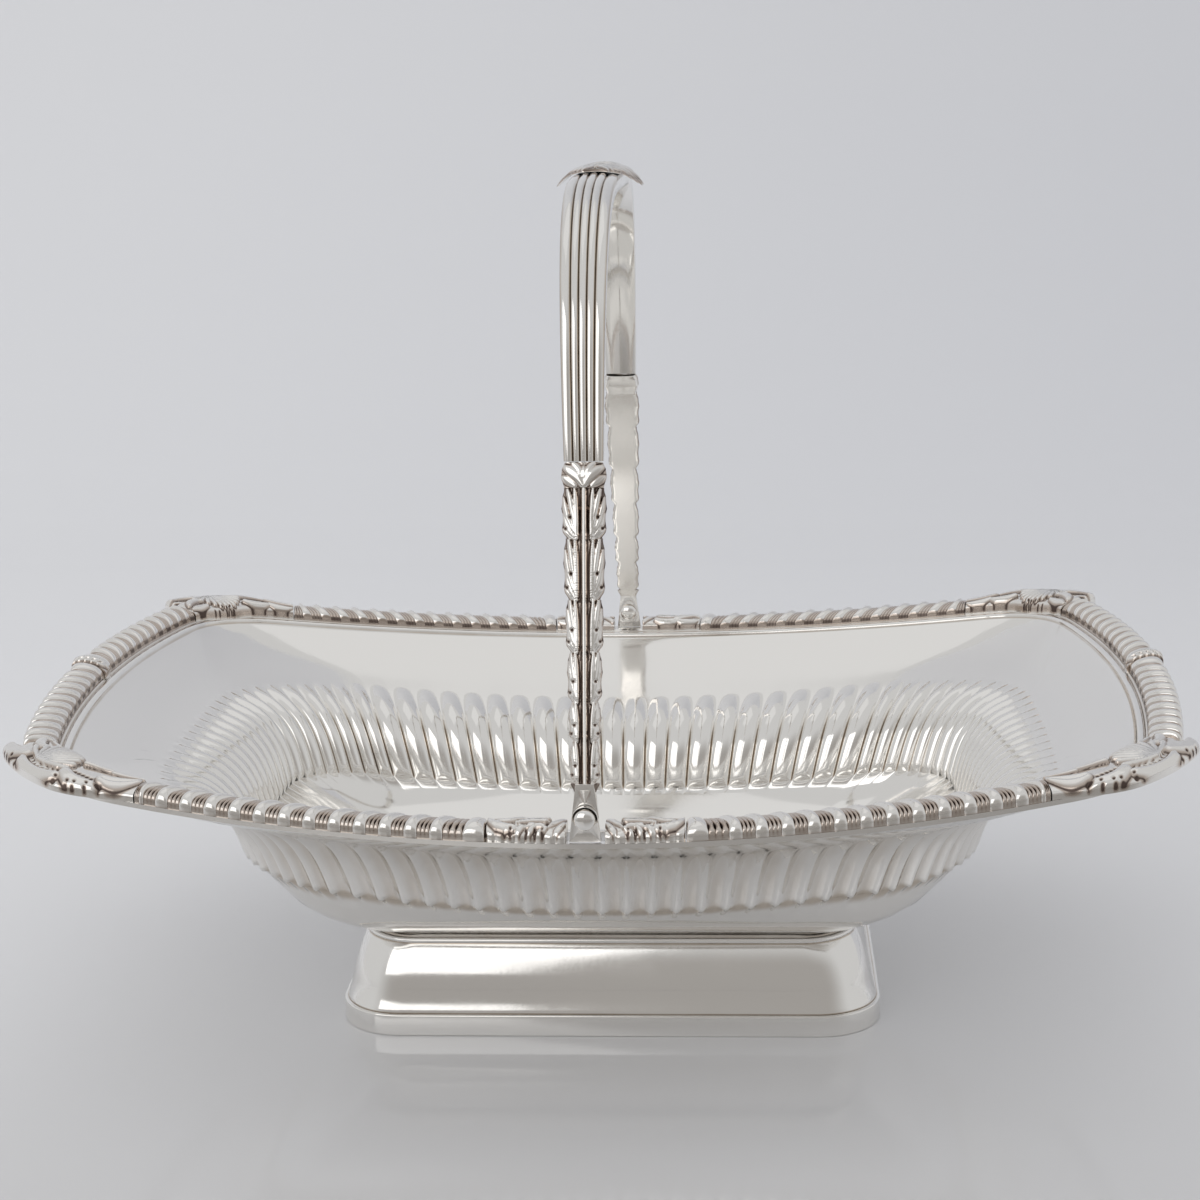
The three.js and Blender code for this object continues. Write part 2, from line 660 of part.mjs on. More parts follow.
// A domed head at each end of a plain shank.
function pinGeometry(side) {
  const headSeat = lugOuterFace + SEAT_GAP;
  const tailSeat = tongueInnerFace - SEAT_GAP;
  const dome = (seat, direction) => {
    const points = [new THREE.Vector2(0, seat + direction * PIN_HEAD_DOME)];
    for (let i = 1; i <= PIN_DOME_RINGS; i++) {
      const angle = (Math.PI / 2) * (i / PIN_DOME_RINGS);
      const height = seat + direction * PIN_HEAD_DOME * Math.cos(angle);
      points.push(new THREE.Vector2(PIN_HEAD_RADIUS * Math.sin(angle), height));
    }
    return points;
  };
  const profile = [
    ...dome(tailSeat, -1),
    new THREE.Vector2(PIN_RADIUS, tailSeat),
    new THREE.Vector2(PIN_RADIUS, headSeat),
    ...dome(headSeat, 1).reverse(),
  ];
  const geometry = new THREE.LatheGeometry(profile, ROUND_SIDES);
  if (side === FRONT) geometry.rotateX(Math.PI);
  geometry.translate(0, 0, pinHeight);
  return geometry;
}

// Handle, in a frame whose origin is the hinge line. Its bow is a squared arch.
function bowPoint(angle) {
  const y = Math.cos(angle) / BOW_HALF_SPAN;
  const z = Math.sin(angle) / HANDLE_HEIGHT;
  const reach = (Math.abs(y) ** BOW_POWER + Math.abs(z) ** BOW_POWER) ** (-1 / BOW_POWER);
  return new THREE.Vector3(0, reach * Math.cos(angle), reach * Math.sin(angle));
}
const bowFootSpan = BOW_HALF_SPAN * (1 - (BOW_FOOT / HANDLE_HEIGHT) ** BOW_POWER) ** (1 / BOW_POWER);
const bowFootAngle = Math.atan2(BOW_FOOT, bowFootSpan);
const bowLine = new THREE.CatmullRomCurve3(
  Array.from({ length: BOW_CURVE_POINTS + 1 }, (_, i) => {
    const share = i / BOW_CURVE_POINTS;
    return bowPoint(Math.PI - bowFootAngle - (Math.PI - 2 * bowFootAngle) * share);
  }),
);
const bowLength = bowLine.getLength();
const bowHalf = bowLength / 2;

// `distance` runs from the crown, towards the back when positive, and `up` is outwards from the bow.
function placeOnBow(distance, across, up, shift = 0) {
  const share = THREE.MathUtils.clamp((bowHalf + distance + shift) / bowLength, 0, 1);
  const point = bowLine.getPointAt(share);
  const tangent = bowLine.getTangentAt(share);
  const out = new THREE.Vector3(0, -tangent.z, tangent.y);
  return point.addScaledVector(out, up).add(new THREE.Vector3(across, 0, 0));
}

const bowFootPoint = placeOnBow(bowHalf, 0, 0);

// The section of a flat strap whose outer face has reeds.
function reededSection(width, thickness) {
  const half = width / 2;
  const reed = width / REEDS;
  const section = [[half, -thickness], [half, -REED_EDGE_HEIGHT]];
  for (let i = REEDS - 1; i >= 0; i--) {
    const right = -half + reed * (i + 1);
    section.push([right - reed * REED_FLANK, 0], [right - reed * (1 - REED_FLANK), 0]);
    section.push([right - reed, i === 0 ? -REED_EDGE_HEIGHT : -REED_HEIGHT]);
  }
  section.push([-half, -thickness]);
  return section;
}

function bowGeometry() {
  const stations = [];
  const half = bowHalf - SEAT_GAP;
  for (let i = 0; i <= BOW_STATIONS; i++) {
    const distance = half * (2 * (i / BOW_STATIONS) - 1);
    const fromFoot = 1 - Math.abs(distance) / half;
    const width = BOW_FOOT_WIDTH + (BOW_CROWN_WIDTH - BOW_FOOT_WIDTH) * Math.sin((Math.PI / 2) * fromFoot);
    stations.push({ at: distance, section: reededSection(width, BOW_THICKNESS) });
  }
  return sweep(placeOnBow, stations);
}

// How far past the bow's edge a point of the crown leaf is, as a share of the leaf's overhang.
const crownLeafBend = BOW_CROWN_WIDTH / 2 + SEAT_GAP;
function overhang(across) {
  const free = CROWN_LEAF_HALF_WIDTH - crownLeafBend;
  return Math.max(0, (Math.abs(across) - crownLeafBend) / free) ** CROWN_LEAF_CURL;
}

// A spreading leaf on the crown, drooping to both sides of the bow.
function crownLeafGeometry() {
  const stations = [];
  for (let i = 0; i <= CROWN_LEAF_CUTS; i++) {
    const share = 2 * (i / CROWN_LEAF_CUTS) - 1;
    const notch = i % 2 === 0 ? 1 - CROWN_LEAF_NOTCH : 1;
    const taper = 1 - CROWN_LEAF_TAPER * Math.abs(share) ** CROWN_LEAF_TAPER_POWER;
    const half = (CROWN_LEAF_HALF_WIDTH * taper + CROWN_LEAF_TIP) * notch;
    const bend = Math.min(crownLeafBend, half * CROWN_LEAF_BEND_SHARE);
    const columns = [-half, -bend, 0, bend, half];
    const sag = (across) => SEAT_GAP + CROWN_LEAF_THICKNESS - CROWN_LEAF_DROOP * overhang(across);
    const top = columns.map((across) => [across, sag(across), 0]);
    const bottom = columns.map((across) => [across, sag(across) - CROWN_LEAF_THICKNESS, 0]);
    stations.push({ at: CROWN_LEAF_HALF_LENGTH * share, section: [...bottom, ...top.reverse()] });
  }
  return sweep(placeOnBow, stations);
}

// The straight part of the handle, from the tongue to the foot of the bow.
function armLine(side) {
  const foot = new THREE.Vector3(0, side * tongueOuterFace, ARM_FOOT);
  const head = new THREE.Vector3(0, side * bowFootPoint.y, bowFootPoint.z);
  const along = head.clone().sub(foot).normalize();
  const out = new THREE.Vector3(0, side * along.z, -side * along.y);
  const place = (distance, across, up) =>
    foot.clone().addScaledVector(along, distance).addScaledVector(out, up).add(new THREE.Vector3(across, 0, 0));
  return { place, length: head.distanceTo(foot) };
}

// A rounded strap that covers the joint between an arm and the bow.
function collarGeometry(side) {
  const { place, length } = armLine(side);
  const proud = (COLLAR_THICKNESS - BOW_THICKNESS) / 2;
  const stations = [];
  for (let i = 0; i <= COLLAR_STATIONS; i++) {
    const share = i / COLLAR_STATIONS;
    const swell = 1 - COLLAR_SWELL * (1 - Math.sin(Math.PI * share));
    const half = (COLLAR_WIDTH / 2) * swell;
    const top = proud * (2 * swell - 1);
    const bottom = -BOW_THICKNESS - top;
    const section = [
      [half, bottom],
      [half, top - COLLAR_CHAMFER],
      [half - COLLAR_CHAMFER, top],
      [COLLAR_CHAMFER - half, top],
      [-half, top - COLLAR_CHAMFER],
      [-half, bottom],
    ];
    stations.push({ at: length - SEAT_GAP - COLLAR_LENGTH * (1 - share), section });
  }
  return sweep(place, stations);
}

// An arm whose outer face is a leaf in tiers along a rib, with a rounded tongue below it.
function armGeometry(side) {
  const { place, length } = armLine(side);
  const top = length - COLLAR_LENGTH - 2 * SEAT_GAP;
  const stations = [];
  const add = (share, notch) => {
    const half = THREE.MathUtils.lerp(ARM_FOOT_WIDTH, ARM_TOP_WIDTH, share) / 2 - notch;
    const valley = -ARM_RIB_HEIGHT * (notch > 0 ? ARM_NOTCH_VALLEY : ARM_VALLEY);
    const crest = -ARM_LEAF_CREST_DROP * (ARM_RIB_HEIGHT + notch);
    stations.push({
      at: top * share,
      section: [
        [half, -ARM_THICKNESS],
        [half, valley],
        [half * ARM_LEAF_CREST_SHARE, crest],
        [half * ARM_RIB_SHARE, valley],
        [0, 0],
        [-half * ARM_RIB_SHARE, valley],
        [-half * ARM_LEAF_CREST_SHARE, crest],
        [-half, valley],
        [-half, -ARM_THICKNESS],
      ],
    });
  };
  add(0, ARM_FOOT_NOTCH);
  for (let tier = 0; tier < ARM_LEAF_TIERS; tier++) {
    if (tier > 0) add(tier / ARM_LEAF_TIERS, ARM_LEAF_NOTCH);
    add((tier + ARM_LEAF_TIP) / ARM_LEAF_TIERS, 0);
  }
  add(1, ARM_LEAF_NOTCH);
  const leaf = sweep(place, stations);
  const outer = side * tongueOuterFace;
  const inner = side * tongueInnerFace;
  const from = Math.min(outer, inner);
  const to = Math.max(outer, inner);
  const neckHeight = ARM_FOOT + ARM_THICKNESS * ARM_NECK_OVERLAP;
  const neck = new THREE.BoxGeometry(2 * TONGUE_RADIUS, to - from, neckHeight);
  neck.translate(0, (from + to) / 2, neckHeight / 2);
  const eye = barAlongY(PIN_RADIUS + RUNNING_GAP, from - 1, to + 1);
  const solid = toSolid(leaf).add(toSolid(neck)).add(toSolid(barAlongY(TONGUE_RADIUS, from, to)));
  return toGeometry(solid.subtract(toSolid(eye)));
}

// Assembly
const basket = new THREE.Group();
basket.name = "silver_basket";
const body = new THREE.Group();
const handle = new THREE.Group();
handle.position.set(0, 0, pinHeight);
basket.add(body, handle);

function addPiece(group, name, geometry, material) {
  const mesh = new THREE.Mesh(geometry, material);
  mesh.name = name;
  group.add(mesh);
}

addPiece(body, "bowl", bowlGeometry(), polishedSilver());
addPiece(body, "foot_wall", footWallGeometry(), polishedSilver());
addPiece(body, "foot_base_band", footBandGeometry(), polishedSilver());

// Quarter 0 is the front right one, and the quarters follow the rim towards the back.
const QUARTERS = [
  ["front", "right"],
  ["back", "right"],
  ["back", "left"],
  ["front", "left"],
];
const shellMiddle = rimPlan.arcs[0].length + rimPlan.arcs[1].length / 2;
QUARTERS.forEach(([long, end], index) => {
  const onRim = (s) => (index % 2 === 0 ? index * rimPlan.length + s : (index + 1) * rimPlan.length - s);
  const shellStart = shellMiddle - SHELL_SIDE_REACH;
  const shellEnd = shellMiddle + SHELL_END_REACH;
  const bandEdge = rimPlan.length - END_BAND_HALF_WIDTH;
  addPiece(
    body,
    `${long}_${end}_centre_leaf`,
    centreLeaf(onRim(CENTRE_LEAF_START), onRim(CENTRE_LEAF_END)),
    castSilver(),
  );
  addPiece(
    body,
    `${long}_${end}_side_gadroon`,
    gadroonRun(onRim(CENTRE_LEAF_END + BORDER_JOINT), onRim(shellStart - BORDER_JOINT)),
    castSilver(),
  );
  const towardsEnd = index % 2 === 0 ? 1 : -1;
  addPiece(body, `${long}_${end}_corner_shell`, cornerShell(onRim(shellMiddle), towardsEnd), castSilver());
  addPiece(
    body,
    `${long}_${end}_end_gadroon`,
    gadroonRun(onRim(bandEdge - BORDER_JOINT), onRim(shellEnd + BORDER_JOINT)),
    castSilver(),
  );
});
addPiece(body, "right_end_band", endBand(rimPlan.length), castSilver());
addPiece(body, "left_end_band", endBand(3 * rimPlan.length), castSilver());

for (const [place, side] of [
  ["front", FRONT],
  ["back", BACK],
]) {
  addPiece(body, `${place}_hinge_lug`, lugGeometry(side), polishedSilver());
  addPiece(body, `${place}_hinge_pin`, pinGeometry(side), polishedSilver());
  addPiece(handle, `${place}_arm`, armGeometry(side), castSilver());
  addPiece(handle, `${place}_collar`, collarGeometry(side), castSilver());
}
addPiece(handle, "handle_bow", bowGeometry(), polishedSilver());
addPiece(handle, "crown_leaf", crownLeafGeometry(), castSilver());

export default basket;
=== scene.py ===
"""Visual model of an oblong silver basket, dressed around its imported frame.

The basket has a fluted bowl, a border of gadroons with shells at its corners, a hollow foot and a swing
handle. Sizes are in millimetres until a mesh is finished, and +Z is up. X runs along the basket and Y
across it, so that the camera stands on the side of negative Y.
"""

import logging
import math
from dataclasses import dataclass, field
from enum import Enum

import bmesh
import bpy
import numpy as np
from mathutils import Matrix, Vector

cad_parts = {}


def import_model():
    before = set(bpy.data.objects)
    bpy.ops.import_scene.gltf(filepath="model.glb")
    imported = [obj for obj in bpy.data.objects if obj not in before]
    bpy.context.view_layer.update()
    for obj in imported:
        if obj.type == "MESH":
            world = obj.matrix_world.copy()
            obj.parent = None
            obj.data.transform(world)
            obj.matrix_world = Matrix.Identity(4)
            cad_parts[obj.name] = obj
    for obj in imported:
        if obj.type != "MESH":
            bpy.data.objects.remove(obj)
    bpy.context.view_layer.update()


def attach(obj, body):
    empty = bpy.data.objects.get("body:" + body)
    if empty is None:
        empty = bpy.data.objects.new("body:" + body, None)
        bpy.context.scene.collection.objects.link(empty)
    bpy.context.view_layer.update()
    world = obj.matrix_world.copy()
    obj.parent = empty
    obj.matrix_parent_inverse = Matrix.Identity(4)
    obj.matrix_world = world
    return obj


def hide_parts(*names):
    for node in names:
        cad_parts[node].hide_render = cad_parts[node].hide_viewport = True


LOG = logging.getLogger("basket")
MM = 0.001
WELD = 1e-6
RELIEF = "relief"
STRAIGHT_BEND = 1 / 20000
Array = np.ndarray
Surface = tuple[Array, Array]
Colour = tuple[float, float, float]


class Carrier(Enum):
    """The bodies that pieces move with."""

    BASKET = "body"
    HANDLE = "handle"


class Slot(Enum):
    """The record's material slots."""

    POLISHED = "polished_silver"
    CAST = "cast_silver"


class Side(Enum):
    """The two long sides, by the sign of Y."""

    FRONT = -1
    BACK = 1


# Small numeric helpers


def ease(low: float, high: float, value: Array) -> Array:
    """Height at a value of a smooth step from 0 at low to 1 at high."""
    share = np.clip((value - low) / (high - low), 0.0, 1.0)
    return share * share * (3 - 2 * share)


def half_round(share: Array, power: float = 0.5) -> Array:
    """Height of a rounded ridge from -1 to 1, a half circle by default and a parabola at power 1."""
    return np.maximum(0.0, 1 - share**2) ** power


@dataclass(frozen=True)
class Spline:
    """A smooth curve through rows of values.

    Attributes:
        knots: Places of the rows, rising.
        rows: One row of values for each knot.
        bends: Second derivatives at the knots.
    """

    knots: Array
    rows: Array
    bends: Array

    @classmethod
    def through(
        cls, knots: list[float], rows: list[list[float]], start: list[float] | None = None
    ) -> "Spline":
        """Makes the curve.

        Args:
            knots: Places of the rows.
            rows: Values at the knots.
            start: Slope at the first knot, or None to leave it free.

        Returns:
            The finished curve.
        """
        place = np.array(knots, float)
        value = np.array(rows, float)
        gap = np.diff(place)
        count = len(place)
        system = np.eye(count)
        right = np.zeros_like(value)
        slope = np.diff(value, axis=0) / gap[:, None]
        for i in range(1, count - 1):
            system[i, i - 1 : i + 2] = [gap[i - 1] / 6, (gap[i - 1] + gap[i]) / 3, gap[i] / 6]
            right[i] = slope[i] - slope[i - 1]
        if start is not None:
            system[0, :2] = [gap[0] / 3, gap[0] / 6]
            right[0] = slope[0] - np.array(start)
        return cls(place, value, np.linalg.solve(system, right))

    def at(self, where: Array) -> Array:
        """Values of the curve.

        Args:
            where: Places, of any shape.

        Returns:
            An array with one more axis, for the values.
        """
        index = np.clip(np.searchsorted(self.knots, where, side="right") - 1, 0, len(self.knots) - 2)
        gap = (self.knots[index + 1] - self.knots[index])[..., None]
        upper = (where - self.knots[index])[..., None] / gap
        lower = 1 - upper
        curve = (lower**3 - lower) * self.bends[index] + (upper**3 - upper) * self.bends[index + 1]
        return lower * self.rows[index] + upper * self.rows[index + 1] + curve * gap**2 / 6


@dataclass(frozen=True)
class Plan:
    """A rounded oblong seen from above, whose sides and corners are arcs that meet smoothly.

    Each size may be a number or an array, for many plans at once.

    Attributes:
        half_length, half_width: From the middle to the end, and to the long side.
        corner: Radius of the corners.
        long_bend, end_bend: Curvatures of the long sides and of the ends.
    """

    half_length: Array
    half_width: Array
    corner: Array
    long_bend: Array = STRAIGHT_BEND
    end_bend: Array = STRAIGHT_BEND

    def grown(self, offset: Array) -> "Plan":
        """The plan that lies a distance outside this one."""
        return Plan(
            self.half_length + offset,
            self.half_width + offset,
            self.corner + offset,
            1 / (1 / self.long_bend + offset),
            1 / (1 / self.end_bend + offset),
        )

    def joints(self) -> tuple[Array, Array, Array, Array]:
        """Finds the corner's arc.

        Returns:
            The X and Y of its centre, and the angles at which it starts and ends.
        """
        long_radius = 1 / self.long_bend
        end_radius = 1 / self.end_bend
        long_y = self.half_width - long_radius
        end_x = self.half_length - end_radius
        to_long = long_radius - self.corner
        to_end = end_radius - self.corner
        span = np.hypot(end_x, long_y)
        along = (to_long**2 - to_end**2 + span**2) / (2 * span)
        aside = np.sqrt(to_long**2 - along**2)
        unit_x = end_x / span
        unit_y = -long_y / span
        corner_x = unit_x * along + unit_y * aside
        corner_y = long_y + unit_y * along - unit_x * aside
        start = np.arctan2(corner_x, corner_y - long_y)
        end = np.pi / 2 - np.arctan2(corner_y, corner_x - end_x)
        return corner_x, corner_y, start, end

    def arc_lengths(self) -> tuple[float, float, float]:
        """Measures a quarter of the plan.

        Returns:
            Lengths of its three arcs.
        """
        _, _, start, end = self.joints()
        return (
            float(start / self.long_bend),
            float((end - start) * self.corner),
            float((np.pi / 2 - end) / self.end_bend),
        )

    def around(self, steps: Array, counts: tuple[float, float, float]) -> tuple[Array, Array]:
        """Points on the plan, counted from the front middle towards the right end.

        Args:
            steps: How many steps round the plan each point lies.
            counts: Steps in each of a quarter's three arcs.

        Returns:
            The points and their outward normals, each with a last axis of two.
        """
        quarter = sum(counts)
        turn = np.mod(steps, 4 * quarter)
        index = np.minimum(3, turn // quarter).astype(int)
        part = turn - index * quarter
        part = np.where(index % 2 == 0, part, quarter - part)
        corner_x, corner_y, start, end = self.joints()
        long_count, corner_count, end_count = counts
        on_long = part <= long_count
        on_corner = part <= long_count + corner_count
        in_corner = (part - long_count) / corner_count
        in_end = (part - long_count - corner_count) / end_count
        angle = np.where(
            on_long,
            start * part / long_count,
            np.where(on_corner, start + (end - start) * in_corner, end + (np.pi / 2 - end) * in_end),
        )
        long_radius = 1 / self.long_bend
        end_radius = 1 / self.end_bend
        radius = np.where(on_long, long_radius, np.where(on_corner, self.corner, end_radius))
        centre_x = np.where(on_long, 0.0, np.where(on_corner, corner_x, self.half_length - end_radius))
        centre_y = np.where(on_long, self.half_width - long_radius, np.where(on_corner, corner_y, 0.0))
        normal = np.stack([np.sin(angle), np.cos(angle)], axis=-1)
        point = np.stack([centre_x, centre_y], axis=-1) + radius[..., None] * normal
        sign_x = np.where(index < 2, 1.0, -1.0)
        sign_y = np.where((index == 0) | (index == 3), -1.0, 1.0)
        sign = np.stack([sign_x, sign_y], axis=-1)
        return point * sign, normal * sign


# Mesh helpers


def to_object(name: str, mesh: bmesh.types.BMesh, sharp: float = 50.0) -> bpy.types.Object:
    """Turns a bmesh into a smooth-shaded object in the scene.

    Args:
        name: Name of the piece.
        mesh: Its mesh, in metres.
        sharp: Edges that turn by more degrees than this stay crisp.

    Returns:
        The new object.
    """
    data = bpy.data.meshes.new(name)
    mesh.to_mesh(data)
    mesh.free()
    data.shade_smooth()
    data.set_sharp_from_angle(angle=math.radians(sharp))
    made = bpy.data.objects.new(name, data)
    bpy.context.scene.collection.objects.link(made)
    return made


def skin(name: str, points: Array, relief: Array, sharp: float) -> bpy.types.Object:
    """Moves a grid onto a surface, joins the edges that meet and closes the ends.

    Args:
        name: Name of the piece.
        points: Rows of points in millimetres; the first and last of a closed row are the same.
        relief: How bare each point is of tarnish, and in the bowl's outside hollows of painted
            reflection, from 0 in a recess to 1 on a crest.
        sharp: Edges that turn by more degrees than this stay crisp.

    Returns:
        The new object.
    """
    rows, columns = points.shape[:2]
    mesh = bmesh.new()
    layer = mesh.verts.layers.float.new(RELIEF)
    grid = bmesh.ops.create_grid(mesh, x_segments=columns - 1, y_segments=rows - 1, size=1.0)
    places = (points.reshape(-1, 3) * MM).tolist()
    shades = relief.reshape(-1)
    for vertex in grid["verts"]:
        column = round((vertex.co.x + 1) / 2 * (columns - 1))
        row = round((vertex.co.y + 1) / 2 * (rows - 1))
        index = row * columns + column
        vertex.co = places[index]
        vertex[layer] = shades[index]
    bmesh.ops.remove_doubles(mesh, verts=mesh.verts[:], dist=WELD)
    bmesh.ops.holes_fill(mesh, edges=mesh.edges[:], sides=0)
    bmesh.ops.recalc_face_normals(mesh, faces=mesh.faces[:])
    return to_object(name, mesh, sharp)


def closed(columns: Array, *more: Array) -> Array:
    """Columns and whatever follows them, with the first column repeated at the end."""
    return np.concatenate([columns, *more, columns[:, :1]], axis=1)


def side_to_side(count: int) -> Array:
    """Places across a piece from -1 to 1, which lie closer together at its edges."""
    return np.sin(np.linspace(-np.pi / 2, np.pi / 2, count))


def plate(outline: list[tuple[float, float]], eye: float, depth: float) -> bmesh.types.BMesh:
    """A flat plate in X and Z with a round eye about its origin, thick along Y.

    Args:
        outline: Points of its edge, in order.
        eye: Radius of the eye.
        depth: Thickness, from Y = 0 towards +Y.

    Returns:
        The mesh, in millimetres.
    """
    mesh = bmesh.new()
    mesh.verts.layers.float.new(RELIEF)
    edge = [mesh.verts.new((x, 0.0, z)) for x, z in outline]
    rim = [mesh.edges.new((edge[i - 1], edge[i])) for i in range(len(edge))]
    hole = bmesh.ops.create_circle(mesh, segments=len(edge), radius=eye, cap_ends=False)
    upright = Matrix.Rotation(math.pi / 2, 3, "X")
    bmesh.ops.rotate(mesh, verts=hole["verts"], cent=(0, 0, 0), matrix=upright)
    around = list(dict.fromkeys(e for v in hole["verts"] for e in v.link_edges))
    faces = bmesh.ops.bridge_loops(mesh, edges=rim + around)["faces"]
    back = bmesh.ops.extrude_face_region(mesh, geom=faces)["geom"]
    moved = [item for item in back if isinstance(item, bmesh.types.BMVert)]
    bmesh.ops.translate(mesh, verts=moved, vec=(0.0, depth, 0.0))
    bmesh.ops.recalc_face_normals(mesh, faces=mesh.faces[:])
    return mesh


def bevel_edges(mesh: bmesh.types.BMesh, width: float, segments: int, angle: float = 40.0) -> None:
    """Rounds the edges of a mesh that turn by more than an angle.

    Args:
        mesh: The mesh to change.
        width: Width of the rounding.
        segments: Faces across it.
        angle: Least turn of an edge, in degrees.
    """
    crisp = [e for e in mesh.edges if e.is_manifold and e.calc_face_angle(0.0) > math.radians(angle)]
    bmesh.ops.bevel(
        mesh,
        geom=crisp,
        offset=width,
        offset_type="OFFSET",
        segments=segments,
        profile=0.5,
        affect="EDGES",
        material=-1,
        clamp_overlap=True,
    )


def set_relief(mesh: bmesh.types.BMesh, value: float) -> None:
    """Gives every point of a mesh one value of relief.

    Args:
        mesh: The mesh to change.
        value: Relief, from 0 in a recess to 1 on a crest.
    """
    layer = mesh.verts.layers.float[RELIEF]
    for vertex in mesh.verts:
        vertex[layer] = value


def mounted(
    name: str, mesh: bmesh.types.BMesh, turned: bool, shift: tuple[float, float, float]
) -> bpy.types.Object:
    """Puts a small part that was made about the origin in its place.

    Args:
        name: Name of the piece.
        mesh: Its mesh, in millimetres.
        turned: Whether it is first turned round to face the other way along Y.
        shift: How far it is moved, in millimetres.

    Returns:
        The new object.
    """
    if turned:
        bmesh.ops.rotate(mesh, verts=mesh.verts, cent=(0, 0, 0), matrix=Matrix.Rotation(math.pi, 3, "Z"))
    bmesh.ops.translate(mesh, verts=mesh.verts, vec=shift)
    bmesh.ops.scale(mesh, verts=mesh.verts, vec=(MM, MM, MM))
    return to_object(name, mesh)


# Finishes


class NodeTree:
    """A short way to add and link shader nodes."""

    def __init__(self, tree: bpy.types.NodeTree) -> None:
        """Empties the tree and keeps it."""
        self.tree = tree
        self.tree.nodes.clear()

    def add(self, kind: str, **settings: object) -> bpy.types.Node:
        """Adds a node.

        Args:
            kind: Its type, such as ShaderNodeMath.
            **settings: Properties to set, or inputs by name with spaces as underscores.

        Returns:
            The new node.
        """
        node = self.tree.nodes.new(kind)
        for key, value in settings.items():
            if hasattr(node, key):
                setattr(node, key, value)
            else:
                node.inputs[key.replace("_", " ")].default_value = value
        return node

    def link(self, source: bpy.types.NodeSocket, target: bpy.types.NodeSocket) -> None:
        """Joins an output to an input."""
        self.tree.links.new(source, target)

    def math(
        self, operation: str, first: object, second: object = 0.0, clamp: bool = False
    ) -> bpy.types.NodeSocket:
        """Adds a Math node.

        Args:
            operation: Its operation.
            first: A socket or number.
            second: A socket or number.
            clamp: Whether the result is held between 0 and 1.

        Returns:
            Its output.
        """
        node = self.add("ShaderNodeMath", operation=operation, use_clamp=clamp)
        for index, value in enumerate((first, second)):
            if isinstance(value, bpy.types.NodeSocket):
                self.link(value, node.inputs[index])
            else:
                node.inputs[index].default_value = value
        return node.outputs[0]

    def ramp(
        self, source: bpy.types.NodeSocket, low: float, high: float, start: float = 0.0, end: float = 1.0
    ) -> bpy.types.NodeSocket:
        """Maps a value smoothly from one range to another.

        Args:
            source: The value.
            low: Where the result is start.
            high: Where the result is end.
            start: Result at low.
            end: Result at high.

        Returns:
            The mapped value's socket.
        """
        node = self.add(
            "ShaderNodeMapRange",
            interpolation_type="SMOOTHSTEP",
            From_Min=low,
            From_Max=high,
            To_Min=start,
            To_Max=end,
        )
        self.link(source, node.inputs["Value"])
        return node.outputs["Result"]

    def blend(self, share: bpy.types.NodeSocket, first: object, second: object) -> bpy.types.NodeSocket:
        """Mixes two colours.

        Args:
            share: How much of the second colour.
            first: A socket or colour.
            second: A socket or colour.

        Returns:
            The mixed colour's socket.
        """
        node = self.add("ShaderNodeMix", data_type="RGBA")
        self.link(share, node.inputs["Factor"])
        for name, value in (("A", first), ("B", second)):
            socket = next(s for s in node.inputs if s.name == name and s.type == "RGBA")
            if isinstance(value, bpy.types.NodeSocket):
                self.link(value, socket)
            else:
                socket.default_value = (*value, 1.0)
        return next(s for s in node.outputs if s.type == "RGBA")


def shaded(name: str, **settings: float) -> tuple[bpy.types.Material, NodeTree, bpy.types.Node]:
    """Makes a material with one shader.

    Args:
        name: Name of the material.
        **settings: Constant inputs of the shader, by name with spaces as underscores.

    Returns:
        The material, its nodes and its shader.
    """
    material = bpy.data.materials.new(name)
    material.use_nodes = True
    nodes = NodeTree(material.node_tree)
    output = nodes.add("ShaderNodeOutputMaterial")
    shader = nodes.add("ShaderNodeBsdfPrincipled", **settings)
    nodes.link(shader.outputs["BSDF"], output.inputs["Surface"])
    return material, nodes, shader


@dataclass(frozen=True)
class Noise:
    """A cloudy pattern through space.

    Attributes:
        scale: How many of its clouds fit in a metre.
        detail, roughness: Octaves of finer clouds in it, and how strong they are.
    """

    scale: float
    detail: float
    roughness: float

    def value(self, nodes: NodeTree, place: bpy.types.NodeSocket) -> bpy.types.NodeSocket:
        """Adds the pattern.

        Args:
            nodes: The material's nodes.
            place: Where it is read.

        Returns:
            Its value's socket, which is about 0.5 on average.
        """
        noise = nodes.add(
            "ShaderNodeTexNoise", Scale=self.scale, Detail=self.detail, Roughness=self.roughness
        )
        nodes.link(place, noise.inputs["Vector"])
        return noise.outputs["Fac"]


